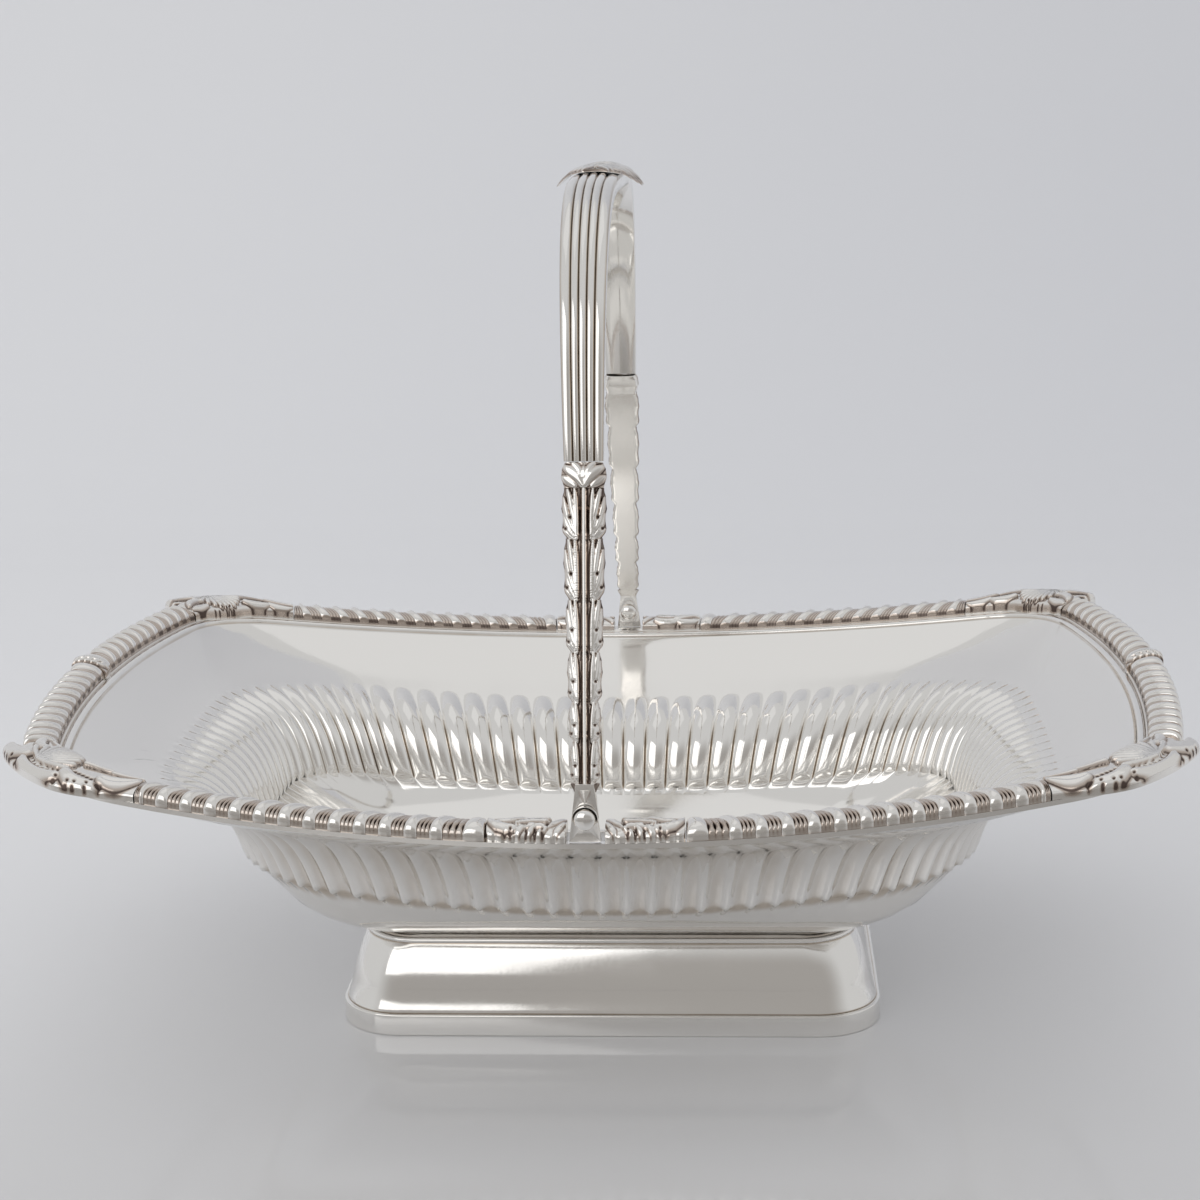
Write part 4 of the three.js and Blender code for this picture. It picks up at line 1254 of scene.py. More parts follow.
@dataclass
class Border:
    """The castings along the rim: gadroons, centre leaves, corner shells and end bands.

    Attributes:
        shop: Where the castings get their finish.
        pitch: Distance from one lobe to the next, before a run is divided evenly.
        slant, belly: How far a lobe leans along the rim for each millimetre across it, and how far it
            bends along the rim in its middle.
        joint: Room at each end of a run.
        centre_start, centre_end: Where the centre leaves start and end.
        shell_side, shell_end: How far a corner's casting reaches along the side and the end.
        band_half: Half length of an end band.
        bed: Height between the lobes, as a share of the border's height.
        reed_rise: Height of the reeds over that bed, as a share of the lobes' height over it.
        slot_depth: Depth of the slots at the reeds' outer ends.
        lobe_inset, reed_inset, inner_inset: How far a run stands back beside its lobes, at its reeds
            and along its inner edge.
        bulge: How much thicker a lobe is towards its outer end.
        roundness: Power of the section, lower for squarer shoulders.
        lip: Height of the upright edge, as a share of the border's height.
        lobe_share, reeds: Share of the pitch that a lobe takes, and reeds between two lobes.
        carve: How high the carving stands, as a share of its strokes' heights.
        ground: Relief of the castings' ground.
        sink: How far the castings reach down into the gap over the seat.
        columns: Points across a run of gadroons.
    """

    shop: Workshop
    pitch: float = 7.0
    slant: float = 0.42
    belly: float = 1.1
    joint: float = 0.35
    centre_start: float = 5.4
    centre_end: float = 27.2
    shell_side: float = 30.0
    shell_end: float = 16.0
    band_half: float = 2.7
    bed: float = 0.66
    reed_rise: float = 0.55
    slot_depth: float = 1.3
    lobe_inset: float = 0.55
    reed_inset: float = 0.4
    inner_inset: float = 0.3
    bulge: float = 0.06
    roundness: float = 0.36
    lip: float = 0.16
    lobe_share: float = 0.52
    reeds: int = 3
    carve: float = 0.62
    ground: float = 0.85
    sink: float = 0.27
    columns: int = 26

    def build(self) -> None:
        """Builds every casting of the border and hands it over."""
        quarter = RIM.quarter()
        middle = RIM.corner_middle()
        before_shell = middle - self.shell_side - self.joint
        after_shell = middle + self.shell_end + self.joint
        for index, name in enumerate(("front_right", "back_right", "back_left", "front_left")):
            sign = 1 - 2 * (index % 2)
            whole = Stretch((index + index % 2) * quarter, sign)
            corner = Stretch(whole.origin + sign * middle, sign)
            castings = {
                "side_gadroon": self._gadroon(whole, self.centre_end + self.joint, before_shell),
                "end_gadroon": self._gadroon(whole, quarter - self.band_half - self.joint, after_shell),
                "centre_leaf": self._centre_leaf(whole),
                "corner_shell": self._corner(corner),
            }
            for kind, casting in castings.items():
                self._hand_over(f"{name}_{kind}", casting)
        for name, count in (("right_end_band", 1), ("left_end_band", 3)):
            self._hand_over(name, self._end_band(Stretch(count * quarter)))

    def _hand_over(self, node: str, casting: Surface) -> None:
        """Hands over the casting that replaces a node."""
        self.shop.skin(f"{node}_casting", casting, 80.0, Slot.CAST, Carrier.BASKET, node)

    def _gadroon(self, stretch: Stretch, start: float, stop: float) -> Surface:
        """A run of curved lobes with reeds between each two.

        Args:
            stretch: The quarter that it lies in.
            start: Where the run starts, in the quarter.
            stop: Where it stops, towards the corner.

        Returns:
            The casting's points and relief.
        """
        length = abs(stop - start)
        lobes = max(1, round(length / self.pitch))
        pitch = length / lobes
        phase, rise, is_lobe, crest = self._period()
        along = (np.arange(lobes)[:, None] + phase[None, :]).reshape(-1) * pitch
        along = np.append(along, length)
        tiled = [np.append(np.tile(values, lobes), values[0]) for values in (rise, is_lobe, crest)]
        rise, is_lobe, crest = (values[:, None] for values in tiled)
        share = 0.5 - 0.5 * np.cos(np.pi * np.linspace(0, 1, self.columns))
        outer = BORDER_HALF - self.lobe_inset * (1 - rise) * is_lobe - self.reed_inset * (1 - is_lobe)
        inner = BORDER_HALF - self.inner_inset
        across = -inner + (outer + inner) * share[None, :]
        stands = rise * np.where(is_lobe > 0, 1.0, self.reed_rise)
        top = BORDER_HEIGHT * (self.bed + (1 - self.bed) * stands)
        bulge = np.where(is_lobe > 0, self.bulge * rise * ease(0.3, 0.9, share), 0.0)
        shape = half_round(2 * share - 1, self.roundness)[None, :] * (1 + bulge)
        lip = BORDER_HEIGHT * self.lip
        up = lip + (top - lip) * shape
        squared = np.minimum(1.0, np.minimum(along, length - along) / pitch)[:, None]
        lean = self.slant * (across + BORDER_HALF) + self.belly * half_round(across / BORDER_HALF, 1.0)
        travel = along[:, None] + lean * squared
        distance = start + np.sign(stop - start) * travel
        slot = (1 - is_lobe) * (ease(0.62, 0.8, share) * (1 - ease(0.86, 0.94, share)))[None, :]
        up = up - self.slot_depth * slot * (1 - rise)
        relief = np.clip(crest - slot * (1.15 - rise), 0.0, 1.0)
        relief = relief * (0.35 + 0.65 * ease(0.0, 0.05, share))[None, :]
        bottom = np.full((len(up), 2), -self.sink)
        shade = closed(relief, np.full(bottom.shape, 0.6))
        distance = closed(distance, distance[:, [-1, 0]])
        return stretch.place(distance, closed(across, across[:, [-1, 0]]), closed(up, bottom)), shade

    def _period(self) -> tuple[Array, Array, Array, Array]:
        """The columns of one lobe and of the reeds beside it.

        Returns:
            Phase, rise, kind (1 on a lobe and 0 on a reed) and relief of each column.
        """
        turn = np.linspace(0, np.pi, 10)[:-1]
        half = self.lobe_share / 2
        phase = [half - half * np.cos(turn)]
        rise = [np.sin(turn)]
        kind = [np.ones(len(turn))]
        crest = [np.clip(0.1 + np.sin(turn) * 2.4, 0, 1)]
        width = (1 - self.lobe_share) / self.reeds
        for reed in range(self.reeds):
            turn = np.linspace(0, np.pi, 7)[:-1]
            phase.append(self.lobe_share + width * (reed + 0.5 - 0.5 * np.cos(turn)))
            rise.append(np.sin(turn) ** 0.7)
            kind.append(np.zeros(len(turn)))
            crest.append(0.14 + 0.46 * np.sin(turn) ** 0.6)
        return tuple(np.concatenate(values) for values in (phase, rise, kind, crest))

    def _casting(
        self,
        stretch: Stretch,
        along: Array,
        inner: Array,
        outer: Array,
        ground: Array,
        carving: Carving,
        lip: float,
        skew: float,
        columns: int = 44,
    ) -> Surface:
        """A carved patch along the rim.

        Args:
            stretch: The stretch of the rim that it lies on.
            along: Distances of its stations.
            inner: How far it reaches inwards at each.
            outer: How far it reaches outwards at each.
            ground: Height of its ground at each.
            carving: What is carved on it, with along counted as the stations are.
            lip: Height of its upright edge.
            skew: 1 when its dome is highest in the middle, and less when it leans inwards.
            columns: Points across it.

        Returns:
            The casting's points and relief.
        """
        share = 0.5 - 0.5 * np.cos(np.pi * np.linspace(0, 1, columns))
        across = -inner[:, None] + (outer + inner)[:, None] * share[None, :]
        place = np.broadcast_to(along[:, None], across.shape)
        height, relief = carving.mark(place, across)
        dome = half_round(2 * share**skew - 1, 0.42)[None, :]
        up = lip + (ground[:, None] - lip) * dome + self.carve * height * dome**0.5
        relief = relief * (0.6 + 0.4 * ease(0.0, 0.03, share))[None, :]
        bottom = np.full((len(up), 2), -self.sink)
        across = closed(across, across[:, [-1, 0]])
        relief = closed(relief, np.full(bottom.shape, 0.9))
        return stretch.place(along[:, None], across, closed(up, bottom)), relief

    def _centre_leaf(self, stretch: Stretch) -> Surface:
        """The leaves beside a hinge lug.

        Args:
            stretch: The quarter that they lie in.

        Returns:
            The casting's points and relief.
        """
        strokes = [
            Stroke((19.5, 3.2), (25.0, 3.0), (27.0, -1.8), 1.9, 2.2, 0.6, 0.25, 0.45),
            Stroke((19.0, -3.8), (23.0, -4.6), (26.6, -3.4), 1.3, 1.9, 0.6, 0.2, 0.4),
            Stroke((17.5, -3.6), (20.5, -0.6), (24.6, 0.0), 1.5, 2.3, 0.5, 0.2, 0.5),
            Stroke((10.5, -3.4), (16.0, -5.4), (20.0, -2.4), 1.5, 2.5, 0.6, 0.4, 0.5),
            Stroke((11.0, -0.4), (15.5, -2.0), (19.2, 0.6), 1.3, 2.4, 0.6, 0.3, 0.5, 0.3, 0.25),
            Stroke((11.5, 2.6), (15.5, 1.0), (18.6, 3.6), 1.2, 2.3, 0.6, 0.3, 0.5),
            Stroke((10.8, 3.2), (12.6, 4.8), (13.0, 5.0), 0.9, 2.2, 0.7, 0.5, 0.5),
            Stroke((14.0, 2.8), (15.4, 4.6), (15.8, 5.0), 0.9, 2.2, 0.7, 0.5, 0.5),
            Stroke((17.2, 3.0), (18.4, 4.4), (18.8, 5.0), 0.9, 2.1, 0.7, 0.5, 0.5),
            Stroke((6.0, -3.8), (8.0, -1.0), (10.2, 2.6), 1.3, 1.6, 0.6, 0.3, 0.5),
            Stroke((6.0, 1.0), (7.4, 3.4), (8.2, 4.8), 1.1, 1.5, 0.7, 0.4, 0.5),
        ]
        eyes = [
            Eye(16.4, 1.9, 0.55, 1.5),
            Eye(13.3, 1.2, 0.5, 1.3),
            Eye(10.6, 0.8, 0.7, 1.2),
        ]
        for place in (20.4, 16.0, 13.7, 11.7):
            eyes += [Eye(place, 4.7, 0.45, 1.4), Eye(place, 3.7, 0.4, 1.1)]
        along = np.linspace(self.centre_start, self.centre_end, 100)
        share = (along - self.centre_start) / (self.centre_end - self.centre_start)
        scallop = 0.35 * np.abs(np.sin(np.pi * (along - 5.4) / 2.75))
        outer = BORDER_HALF - 0.35 + scallop - 1.0 * share**5
        inner = BORDER_HALF - 0.2 - 0.9 * share**6
        ground = np.full_like(along, 3.7)
        carving = Carving(strokes, eyes, self.ground)
        return self._casting(stretch, along, inner, outer, ground, carving, 0.9, 0.85)

    def _corner(self, stretch: Stretch) -> Surface:
        """The casting over a corner: a ribbed shell in a smooth lip, with leaves to both sides of it.

        Args:
            stretch: The quarter's stretch, counted from the middle of its corner.

        Returns:
            The casting's points and relief.
        """
        hinge = (-1.3, 6.8)
        strokes: list[Stroke] = []
        for turn in np.linspace(-1.42, 1.3, 12):
            out, inward = math.sin(turn), math.cos(turn)
            tip = (hinge[0] + 9.0 * out, hinge[1] - 13.2 * inward)
            bend = (hinge[0] + 4.6 * out, hinge[1] - 6.8 * inward)
            root = (hinge[0] + 0.8 * out, hinge[1])
            strokes.append(Stroke(root, bend, tip, 1.1, 2.6, 0.35, 0.95, 0.9, 0.05))
        strokes += [
            Stroke((-9.8, 9.2), (-3.2, 12.4), (3.4, 9.4), 2.1, 2.6, 0.8, 0.8, 0.5, 0.0),
            Stroke((-11.4, 6.6), (-15.0, 9.8), (-19.6, 7.0), 2.7, 2.8, 0.8, 0.6, 0.5, 0.1, 0.1),
            Stroke((-11.2, -2.4), (-15.0, -4.6), (-20.0, -3.4), 1.8, 2.6, 0.8, 0.5, 0.5, 0.1),
            Stroke((-20.8, 3.4), (-24.5, 3.6), (-30.4, -1.6), 3.0, 2.6, 0.75, 0.2, 0.35, 0.3, 0.3),
            Stroke((-21.0, -2.6), (-25.0, -4.4), (-29.6, -3.8), 1.6, 2.0, 0.7, 0.25, 0.4),
            Stroke((5.4, 6.8), (9.4, 11.0), (13.8, 9.4), 2.7, 2.8, 0.8, 0.7, 0.5, 0.1, 0.1),
            Stroke((6.4, 0.6), (10.0, 2.4), (14.6, -1.4), 1.9, 2.4, 0.8, 0.5, 0.5, 0.1),
            Stroke((7.4, -4.0), (11.0, -4.2), (15.2, -3.6), 1.3, 2.0, 0.7, 0.5, 0.5),
        ]
        eyes = [Eye(-20.6, 6.4, 0.95, 2.2), Eye(13.4, 5.4, 0.95, 2.2), Eye(4.9, 3.0, 0.6, 1.2)]
        notches = ((-18.2, 8.6), (-15.6, 10.0), (-14.0, 10.6), (-10.6, 10.8), (4.3, 11.2), (7.2, 11.8))
        for place, edge in notches:
            eyes += [Eye(place, edge, 0.5, 1.6), Eye(place + 0.1, edge - 1.3, 0.42, 1.2)]
        eyes += [Eye(place, 11.6, 0.42, 1.5) for place in (9.0, 10.8)]
        eyes += [Eye(place, 3.0 - 0.06 * place, 0.6, 0.9) for place in np.linspace(-17.5, -12.0, 5)]
        eyes += [Eye(5.2 - 1.9 * index, -6.2 - 0.5 * (index % 2), 0.4, 0.9) for index in range(6)]
        beads = np.linspace(-8.4, 2.2, 8)
        eyes += [Eye(place, 8.2 - 0.06 * (place + 3) ** 2, 0.34, 0.7) for place in beads]
        along = np.linspace(-self.shell_side, self.shell_end, 240)
        spread = ease(-self.shell_side, -9.0, along) * (1 - ease(12.8, self.shell_end, along))
        outer = BORDER_HALF - 0.3 + 6.7 * spread
        inner_spread = np.exp(-(((along + 0.6) / 8.5) ** 2))
        inner = BORDER_HALF - 0.2 + 2.3 * inner_spread
        ground = 3.7 + 0.9 * spread
        carving = Carving(strokes, eyes, self.ground)
        return self._casting(stretch, along, inner, outer, ground, carving, 0.9, 0.62, 72)

    def _end_band(self, stretch: Stretch) -> Surface:
        """The leafy strap across the border at the middle of an end.

        Args:
            stretch: The rim, counted from the band's middle.

        Returns:
            The casting's points and relief.
        """
        strokes = [Stroke((0.0, -5.6), (0.0, 0.0), (0.0, 6.2), 0.75, 3.6, 0.8, 0.6, 0.5, 0.1, 0.2)]
        for leaf in range(5):
            start = -4.6 + 2.1 * leaf
            for turn in (-1, 1):
                line = ((0.4 * turn, start), (1.8 * turn, start + 0.5), (2.4 * turn, start + 1.9))
                strokes.append(Stroke(*line, 0.75, 3.1, 0.7, 0.4))
        along = np.linspace(-self.band_half, self.band_half, 34)
        swell = 1 - 0.3 * (along / self.band_half) ** 2
        outer = BORDER_HALF + swell
        inner = BORDER_HALF + 0.5 * swell
        ground = np.full_like(along, 4.0)
        return self._casting(stretch, along, inner, outer, ground, Carving(strokes), 1.2, 1.0, 60)


# Hinges


@dataclass
class Hinges:
    """The two lugs on the rim's edge and the rivets that the handle turns on.

    Attributes:
        shop: Where the pieces get their finish.
        above_seat: Height of the rivets over the border's seat.
        pin, head, dome: Radii of a rivet and of its heads, and how far the heads stand out.
        lug_thickness, lug_setback: Thickness of a lug, and how far it stands inside the border's edge.
        lug_inset, lug_recess, lug_round: Width of its raised edge, depth inside it and rounding.
        base_half, top_radius: Half width of its foot and radius of its top.
        tongue_thickness: Thickness of the handle's tongues.
        running_gap: Room between parts that turn on each other.
        gap: Room between parts that are fixed to each other.
    """

    shop: Workshop
    above_seat: float = 6.6
    pin: float = 1.4
    head: float = 3.0
    dome: float = 1.7
    lug_thickness: float = 2.0
    lug_setback: float = 0.8
    lug_inset: float = 0.55
    lug_recess: float = 0.3
    lug_round: float = 0.28
    base_half: float = 4.4
    top_radius: float = 3.6
    tongue_thickness: float = 2.6
    running_gap: float = 0.35
    gap: float = 0.3

    def height(self) -> float:
        """Height of the rivets."""
        return RIM.seat + self.above_seat

    def lug_face(self) -> float:
        """Distance of the lug's outer face from the middle."""
        return RIM.plan.half_width + BORDER_HALF - self.lug_setback

    def tongue_face(self) -> float:
        """Distance of the tongue's outer face from the middle."""
        return self.lug_face() - self.lug_thickness - self.running_gap

    def build(self) -> None:
        """Builds both hinges and hands them over."""
        for side in Side:
            name = side.name.lower()
            lug = self._lug(f"{name}_lug_plate", side)
            self.shop.hand_over(lug, Slot.POLISHED, Carrier.BASKET, f"{name}_hinge_lug")
            pin = self._pin(f"{name}_rivet", side)
            self.shop.hand_over(pin, Slot.POLISHED, Carrier.BASKET, f"{name}_hinge_pin")

    def _lug(self, name: str, side: Side) -> bpy.types.Object:
        """The plate with its raised rounded edge.

        Args:
            name: Name of the piece.
            side: The long side that it stands on.

        Returns:
            The lug.
        """
        foot = self.gap - self.above_seat
        turns = np.linspace(0, math.pi, 25)
        outline = [(self.top_radius * math.cos(a), self.top_radius * math.sin(a)) for a in turns]
        outline += [(self.base_half * share, foot) for share in (-1, -1 / 3, 1 / 3, 1)]
        mesh = plate(outline, self.pin + self.gap, self.lug_thickness)
        front = [f for f in mesh.faces if abs(f.normal.y + 1) < 0.01]
        bmesh.ops.inset_region(
            mesh,
            faces=front,
            thickness=self.lug_inset,
            depth=-self.lug_recess,
            use_even_offset=True,
            use_boundary=True,
        )
        bevel_edges(mesh, self.lug_round, 3)
        set_relief(mesh, 0.75)
        return mounted(name, mesh, side is Side.BACK, (0.0, side.value * self.lug_face(), self.height()))

    def _pin(self, name: str, side: Side) -> bpy.types.Object:
        """The rivet, with a domed head at each end.

        Args:
            name: Name of the piece.
            side: The long side that it stands on.

        Returns:
            The rivet.
        """
        head_seat = self.lug_face() + self.gap
        tail_seat = self.tongue_face() - self.tongue_thickness - self.gap
        profile = []
        for seat, turn in ((tail_seat, -1), (head_seat, 1)):
            dome = [
                (self.head * math.sin(a), seat + turn * (0.25 + (self.dome - 0.25) * math.cos(a)))
                for a in np.linspace(0, math.pi / 2, 9)
            ]
            dome += [(self.head, seat + turn * 0.08), (self.head - 0.15, seat), (self.pin, seat)]
            profile += dome if turn < 0 else dome[::-1]
        mesh = bmesh.new()
        mesh.verts.layers.float.new(RELIEF)
        line = [mesh.verts.new((radius, along, 0.0)) for radius, along in profile]
        edges = [mesh.edges.new(pair) for pair in zip(line, line[1:])]
        turned = line + edges
        bmesh.ops.spin(
            mesh, geom=turned, cent=(0, 0, 0), axis=(0, 1, 0), angle=math.tau, steps=40, use_merge=True
        )
        bmesh.ops.remove_doubles(mesh, verts=mesh.verts[:], dist=1e-4)
        bmesh.ops.recalc_face_normals(mesh, faces=mesh.faces[:])
        layer = mesh.verts.layers.float[RELIEF]
        for vertex in mesh.verts:
            radius = math.hypot(vertex.co.x, vertex.co.z)
            vertex[layer] = 1.0 - 0.55 * float(ease(0.93, 1.0, np.array(radius / self.head)))
        return mounted(name, mesh, side is Side.FRONT, (0.0, 0.0, self.height()))


# Handle


@dataclass
class Handle:
    """The swing handle: two leafy arms, their collars, the reeded bow and the leaf on its crown.

    Attributes:
        shop: Where the pieces get their finish.
        hinges: What the handle turns on.
        rise, half_span, power: Height, half width and squareness of the bow's line over the rivets.
        bow_foot: Height over the rivets where the bow starts.
        foot_width, crown_width, bow_thickness: Sizes of the bow.
        reed_bounds: Where its reeds meet, as shares of its width.
        reed_height: Depth of the grooves between them.
        crown_arch: How far the strap's sides fall away at the crown.
        gap: Room between neighbouring pieces.
        collar_length, collar_width, collar_thickness: Sizes of a collar.
        arm_foot: Height of an arm's foot over the rivets.
        arm_foot_width, arm_top_width, arm_thickness: Sizes of an arm.
        tongue_radius, tongue_neck: Radius of a tongue, and its half width at the arm as a share of that.
        leaf_half_length, leaf_half_width, leaf_droop: Sizes of the crown's leaf, and how far it hangs.
        arm_ground: Relief of the arms' ground.
        rib, rib_groove, rib_rise: Half widths of an arm's rib and its groove, and the rib's height.
        overlap: How far a collar reaches over the pieces beside it.
        tiers: Where the tiers of leaves start, as shares of an arm's length.
    """

    shop: Workshop
    hinges: Hinges
    rise: float = 170.2
    half_span: float = 107.0
    power: float = 4.3
    bow_foot: float = 94.5
    foot_width: float = 11.0
    crown_width: float = 15.0
    bow_thickness: float = 4.4
    reed_bounds: tuple[float, ...] = (-0.5, -0.265, -0.09, 0.09, 0.265, 0.5)
    reed_height: float = 1.1
    crown_arch: float = 1.3
    gap: float = 0.3
    collar_length: float = 6.6
    collar_width: float = 12.8
    collar_thickness: float = 5.6
    arm_foot: float = 7.2
    arm_foot_width: float = 8.0
    arm_top_width: float = 13.4
    arm_thickness: float = 3.2
    tongue_radius: float = 3.7
    tongue_neck: float = 0.68
    leaf_half_length: float = 27.0
    leaf_half_width: float = 13.0
    leaf_droop: float = 3.9
    arm_ground: float = 0.3
    rib: float = 0.8
    rib_groove: float = 1.12
    rib_rise: float = 1.55
    overlap: float = 0.27
    tiers: tuple[float, ...] = (0.026, 0.152, 0.269, 0.422, 0.581, 0.767)

    def __post_init__(self) -> None:
        """Measures the bow's line."""
        ratio = (self.bow_foot / self.rise) ** self.power
        foot_span = self.half_span * (1 - ratio) ** (1 / self.power)
        angle = math.atan2(self.bow_foot, foot_span)
        turn = np.linspace(math.pi - angle, angle, 4001)
        across = np.abs(np.cos(turn)) / self.half_span
        over = np.sin(turn) / self.rise
        reach = (across**self.power + over**self.power) ** (-1 / self.power)
        self.line = np.stack([reach * np.cos(turn), reach * np.sin(turn)], axis=-1)
        steps = np.hypot(*np.diff(self.line, axis=0).T)
        self.run = np.concatenate([[0.0], np.cumsum(steps)])
        self.half = self.run[-1] / 2

    def build(self) -> None:
        """Builds the handle's pieces and hands them over."""
        shop = self.shop
        shop.skin("reeded_bow", self._bow(), 70.0, Slot.POLISHED, Carrier.HANDLE, "handle_bow")
        shop.skin("crown_acanthus", self._crown(), 80.0, Slot.CAST, Carrier.HANDLE, "crown_leaf")
        for side in Side:
            name = side.name.lower()
            arm = self._arm(side)
            shop.skin(f"{name}_acanthus_arm", arm, 80.0, Slot.CAST, Carrier.HANDLE, f"{name}_arm")
            tongue = self._tongue(f"{name}_tongue", side)
            shop.hand_over(tongue, Slot.POLISHED, Carrier.HANDLE)
            shop.skin(f"{name}_tongue_leaf", self._tip(side), 80.0, Slot.CAST, Carrier.HANDLE)
            collar = self._collar(side)
            shop.skin(f"{name}_leaf_collar", collar, 80.0, Slot.CAST, Carrier.HANDLE, f"{name}_collar")

    def _on_bow(self, distance: Array, across: Array, up: Array) -> Array:
        """Points on the bow.

        Args:
            distance: From the crown, towards the back when positive.
            across: Along X.
            up: Outwards from the bow's outer line.

        Returns:
            Points, with a last axis of three.
        """
        distance, across, up = np.broadcast_arrays(distance, across, up)
        run = np.clip(self.half + distance, 0, self.run[-1])
        y = np.interp(run, self.run, self.line[:, 0])
        z = np.interp(run, self.run, self.line[:, 1])
        slope = np.gradient(self.line, self.run, axis=0)
        step_y = np.interp(run, self.run, slope[:, 0])
        step_z = np.interp(run, self.run, slope[:, 1])
        length = np.hypot(step_y, step_z)
        out_y = -step_z / length
        out_z = step_y / length
        return np.stack([across, y + out_y * up, z + out_z * up + self.hinges.height()], axis=-1)

    def _on_arm(self, side: Side, distance: Array, across: Array, up: Array) -> Array:
        """Points on an arm.

        Args:
            side: The arm's side.
            distance: From the top of its tongue towards the bow.
            across: Along X.
            up: Outwards from the arm's outer line.

        Returns:
            Points, with a last axis of three.
        """
        foot = np.array([side.value * self.hinges.tongue_face(), self.arm_foot])
        head = np.array([side.value * abs(self.line[0, 0]), self.line[0, 1]])
        along = (head - foot) / np.linalg.norm(head - foot)
        out = np.array([side.value * along[1], -side.value * along[0]])
        distance, across, up = np.broadcast_arrays(distance, across, up)
        flat = foot + distance[..., None] * along + up[..., None] * out
        return np.stack([across, flat[..., 0], flat[..., 1] + self.hinges.height()], axis=-1)

    def arm_length(self) -> float:
        """Length from the top of a tongue to the foot of the bow."""
        foot = np.array([self.hinges.tongue_face(), self.arm_foot])
        return float(np.linalg.norm(np.abs(self.line[0]) - foot))

    def _bow(self) -> Surface:
        """The strap with its rounded reeds.

        Returns:
            The strap's points and relief.
        """
        half = self.half - 0.03
        distance = half * np.linspace(-1, 1, 241)
        from_foot = 1 - np.abs(distance) / half
        width = self.foot_width + (self.crown_width - self.foot_width) * np.sin(np.pi / 2 * from_foot)
        section = []
        for low, high in zip(self.reed_bounds, self.reed_bounds[1:]):
            for turn in np.linspace(0, np.pi, 9)[:-1]:
                side = (low + high) / 2 - (high - low) / 2 * math.cos(turn)
                sunk = -self.reed_height * (1 - math.sin(turn) ** 0.8)
                section.append((side, sunk, 0.05 + 0.87 * math.sin(turn) ** 1.4))
        back = -self.bow_thickness
        section += [(0.5, -self.reed_height, 0.8), (0.5, back + 0.5, 1.0), (0.47, back, 1.0)]
        section += [(0.0, back + 0.15, 1.0), (-0.47, back, 1.0), (-0.5, back + 0.5, 1.0), section[0]]
        across, up, shade = np.array(section).T
        arch = self.crown_arch * (1 - (distance / half) ** 2)[:, None] * (2 * across) ** 2
        points = self._on_bow(distance[:, None], width[:, None] * across, up - arch)
        return points, np.broadcast_to(shade, points.shape[:2])

    def _crown(self) -> Surface:
        """The acanthus leaf that drapes over the crown.

        Returns:
            The leaf's points and relief.
        """
        strokes = [Stroke((-26.0, 0.0), (0.0, 0.0), (26.0, 0.0), 0.9, 0.9, 0.4, 0.4, 0.5, 0.1)]
        eyes = []
        leaves = ((1.5, 12.4), (7.5, 11.4), (13.5, 9.2), (19.0, 6.6))
        for end in (-1, 1):
            for turn in (-1, 1):
                for start, reach in leaves:
                    root = (end * start, turn * 0.8)
                    for spread, lean in ((0.0, 1.0), (2.4, 0.82), (4.6, 0.6)):
                        tip = (end * (start + spread + 3.0), turn * reach * lean)
                        bend = (end * (start + 0.6 + spread * 0.4), turn * reach * 0.55 * lean)
                        strokes.append(Stroke(root, bend, tip, 1.15, 0.85, 0.5, 0.55, 0.65, 0.1))
                    eyes.append(Eye(end * (start - 0.2), turn * reach * 0.72, 0.75, 0.9))
        carving = Carving(strokes, eyes)
        along = np.linspace(-self.leaf_half_length, self.leaf_half_length, 170)
        share = np.abs(along) / self.leaf_half_length
        taper = 1 - 0.72 * share**2.2
        scallop = 0.06 * np.cos(2 * np.pi * (share * self.leaf_half_length - 4.5) / 6.0)
        half = (self.leaf_half_width * taper + 0.5) * (0.94 + scallop)
        lateral = side_to_side(61)
        across = half[:, None] * lateral[None, :]
        rise, relief = carving.mark(np.broadcast_to(along[:, None], across.shape), across)
        bend_at = self.crown_width / 2 + self.gap
        free = self.leaf_half_width - bend_at
        droop = self.leaf_droop * (np.maximum(0.0, np.abs(across) - bend_at) / free) ** 1.2
        droop = droop + self.crown_arch * np.minimum(1.0, np.abs(across) / bend_at) ** 2
        edge = half_round(lateral, 0.35)[None, :]
        top = self.gap + 0.3 + (0.35 + rise) * edge - droop
        bottom = self.gap - 0.1 - droop
        under = bottom[:, ::-6]
        relief = closed(relief * (0.6 + 0.4 * edge), np.full(under.shape, 0.8))
        return self._on_bow(along[:, None], closed(across, across[:, ::-6]), closed(top, under)), relief

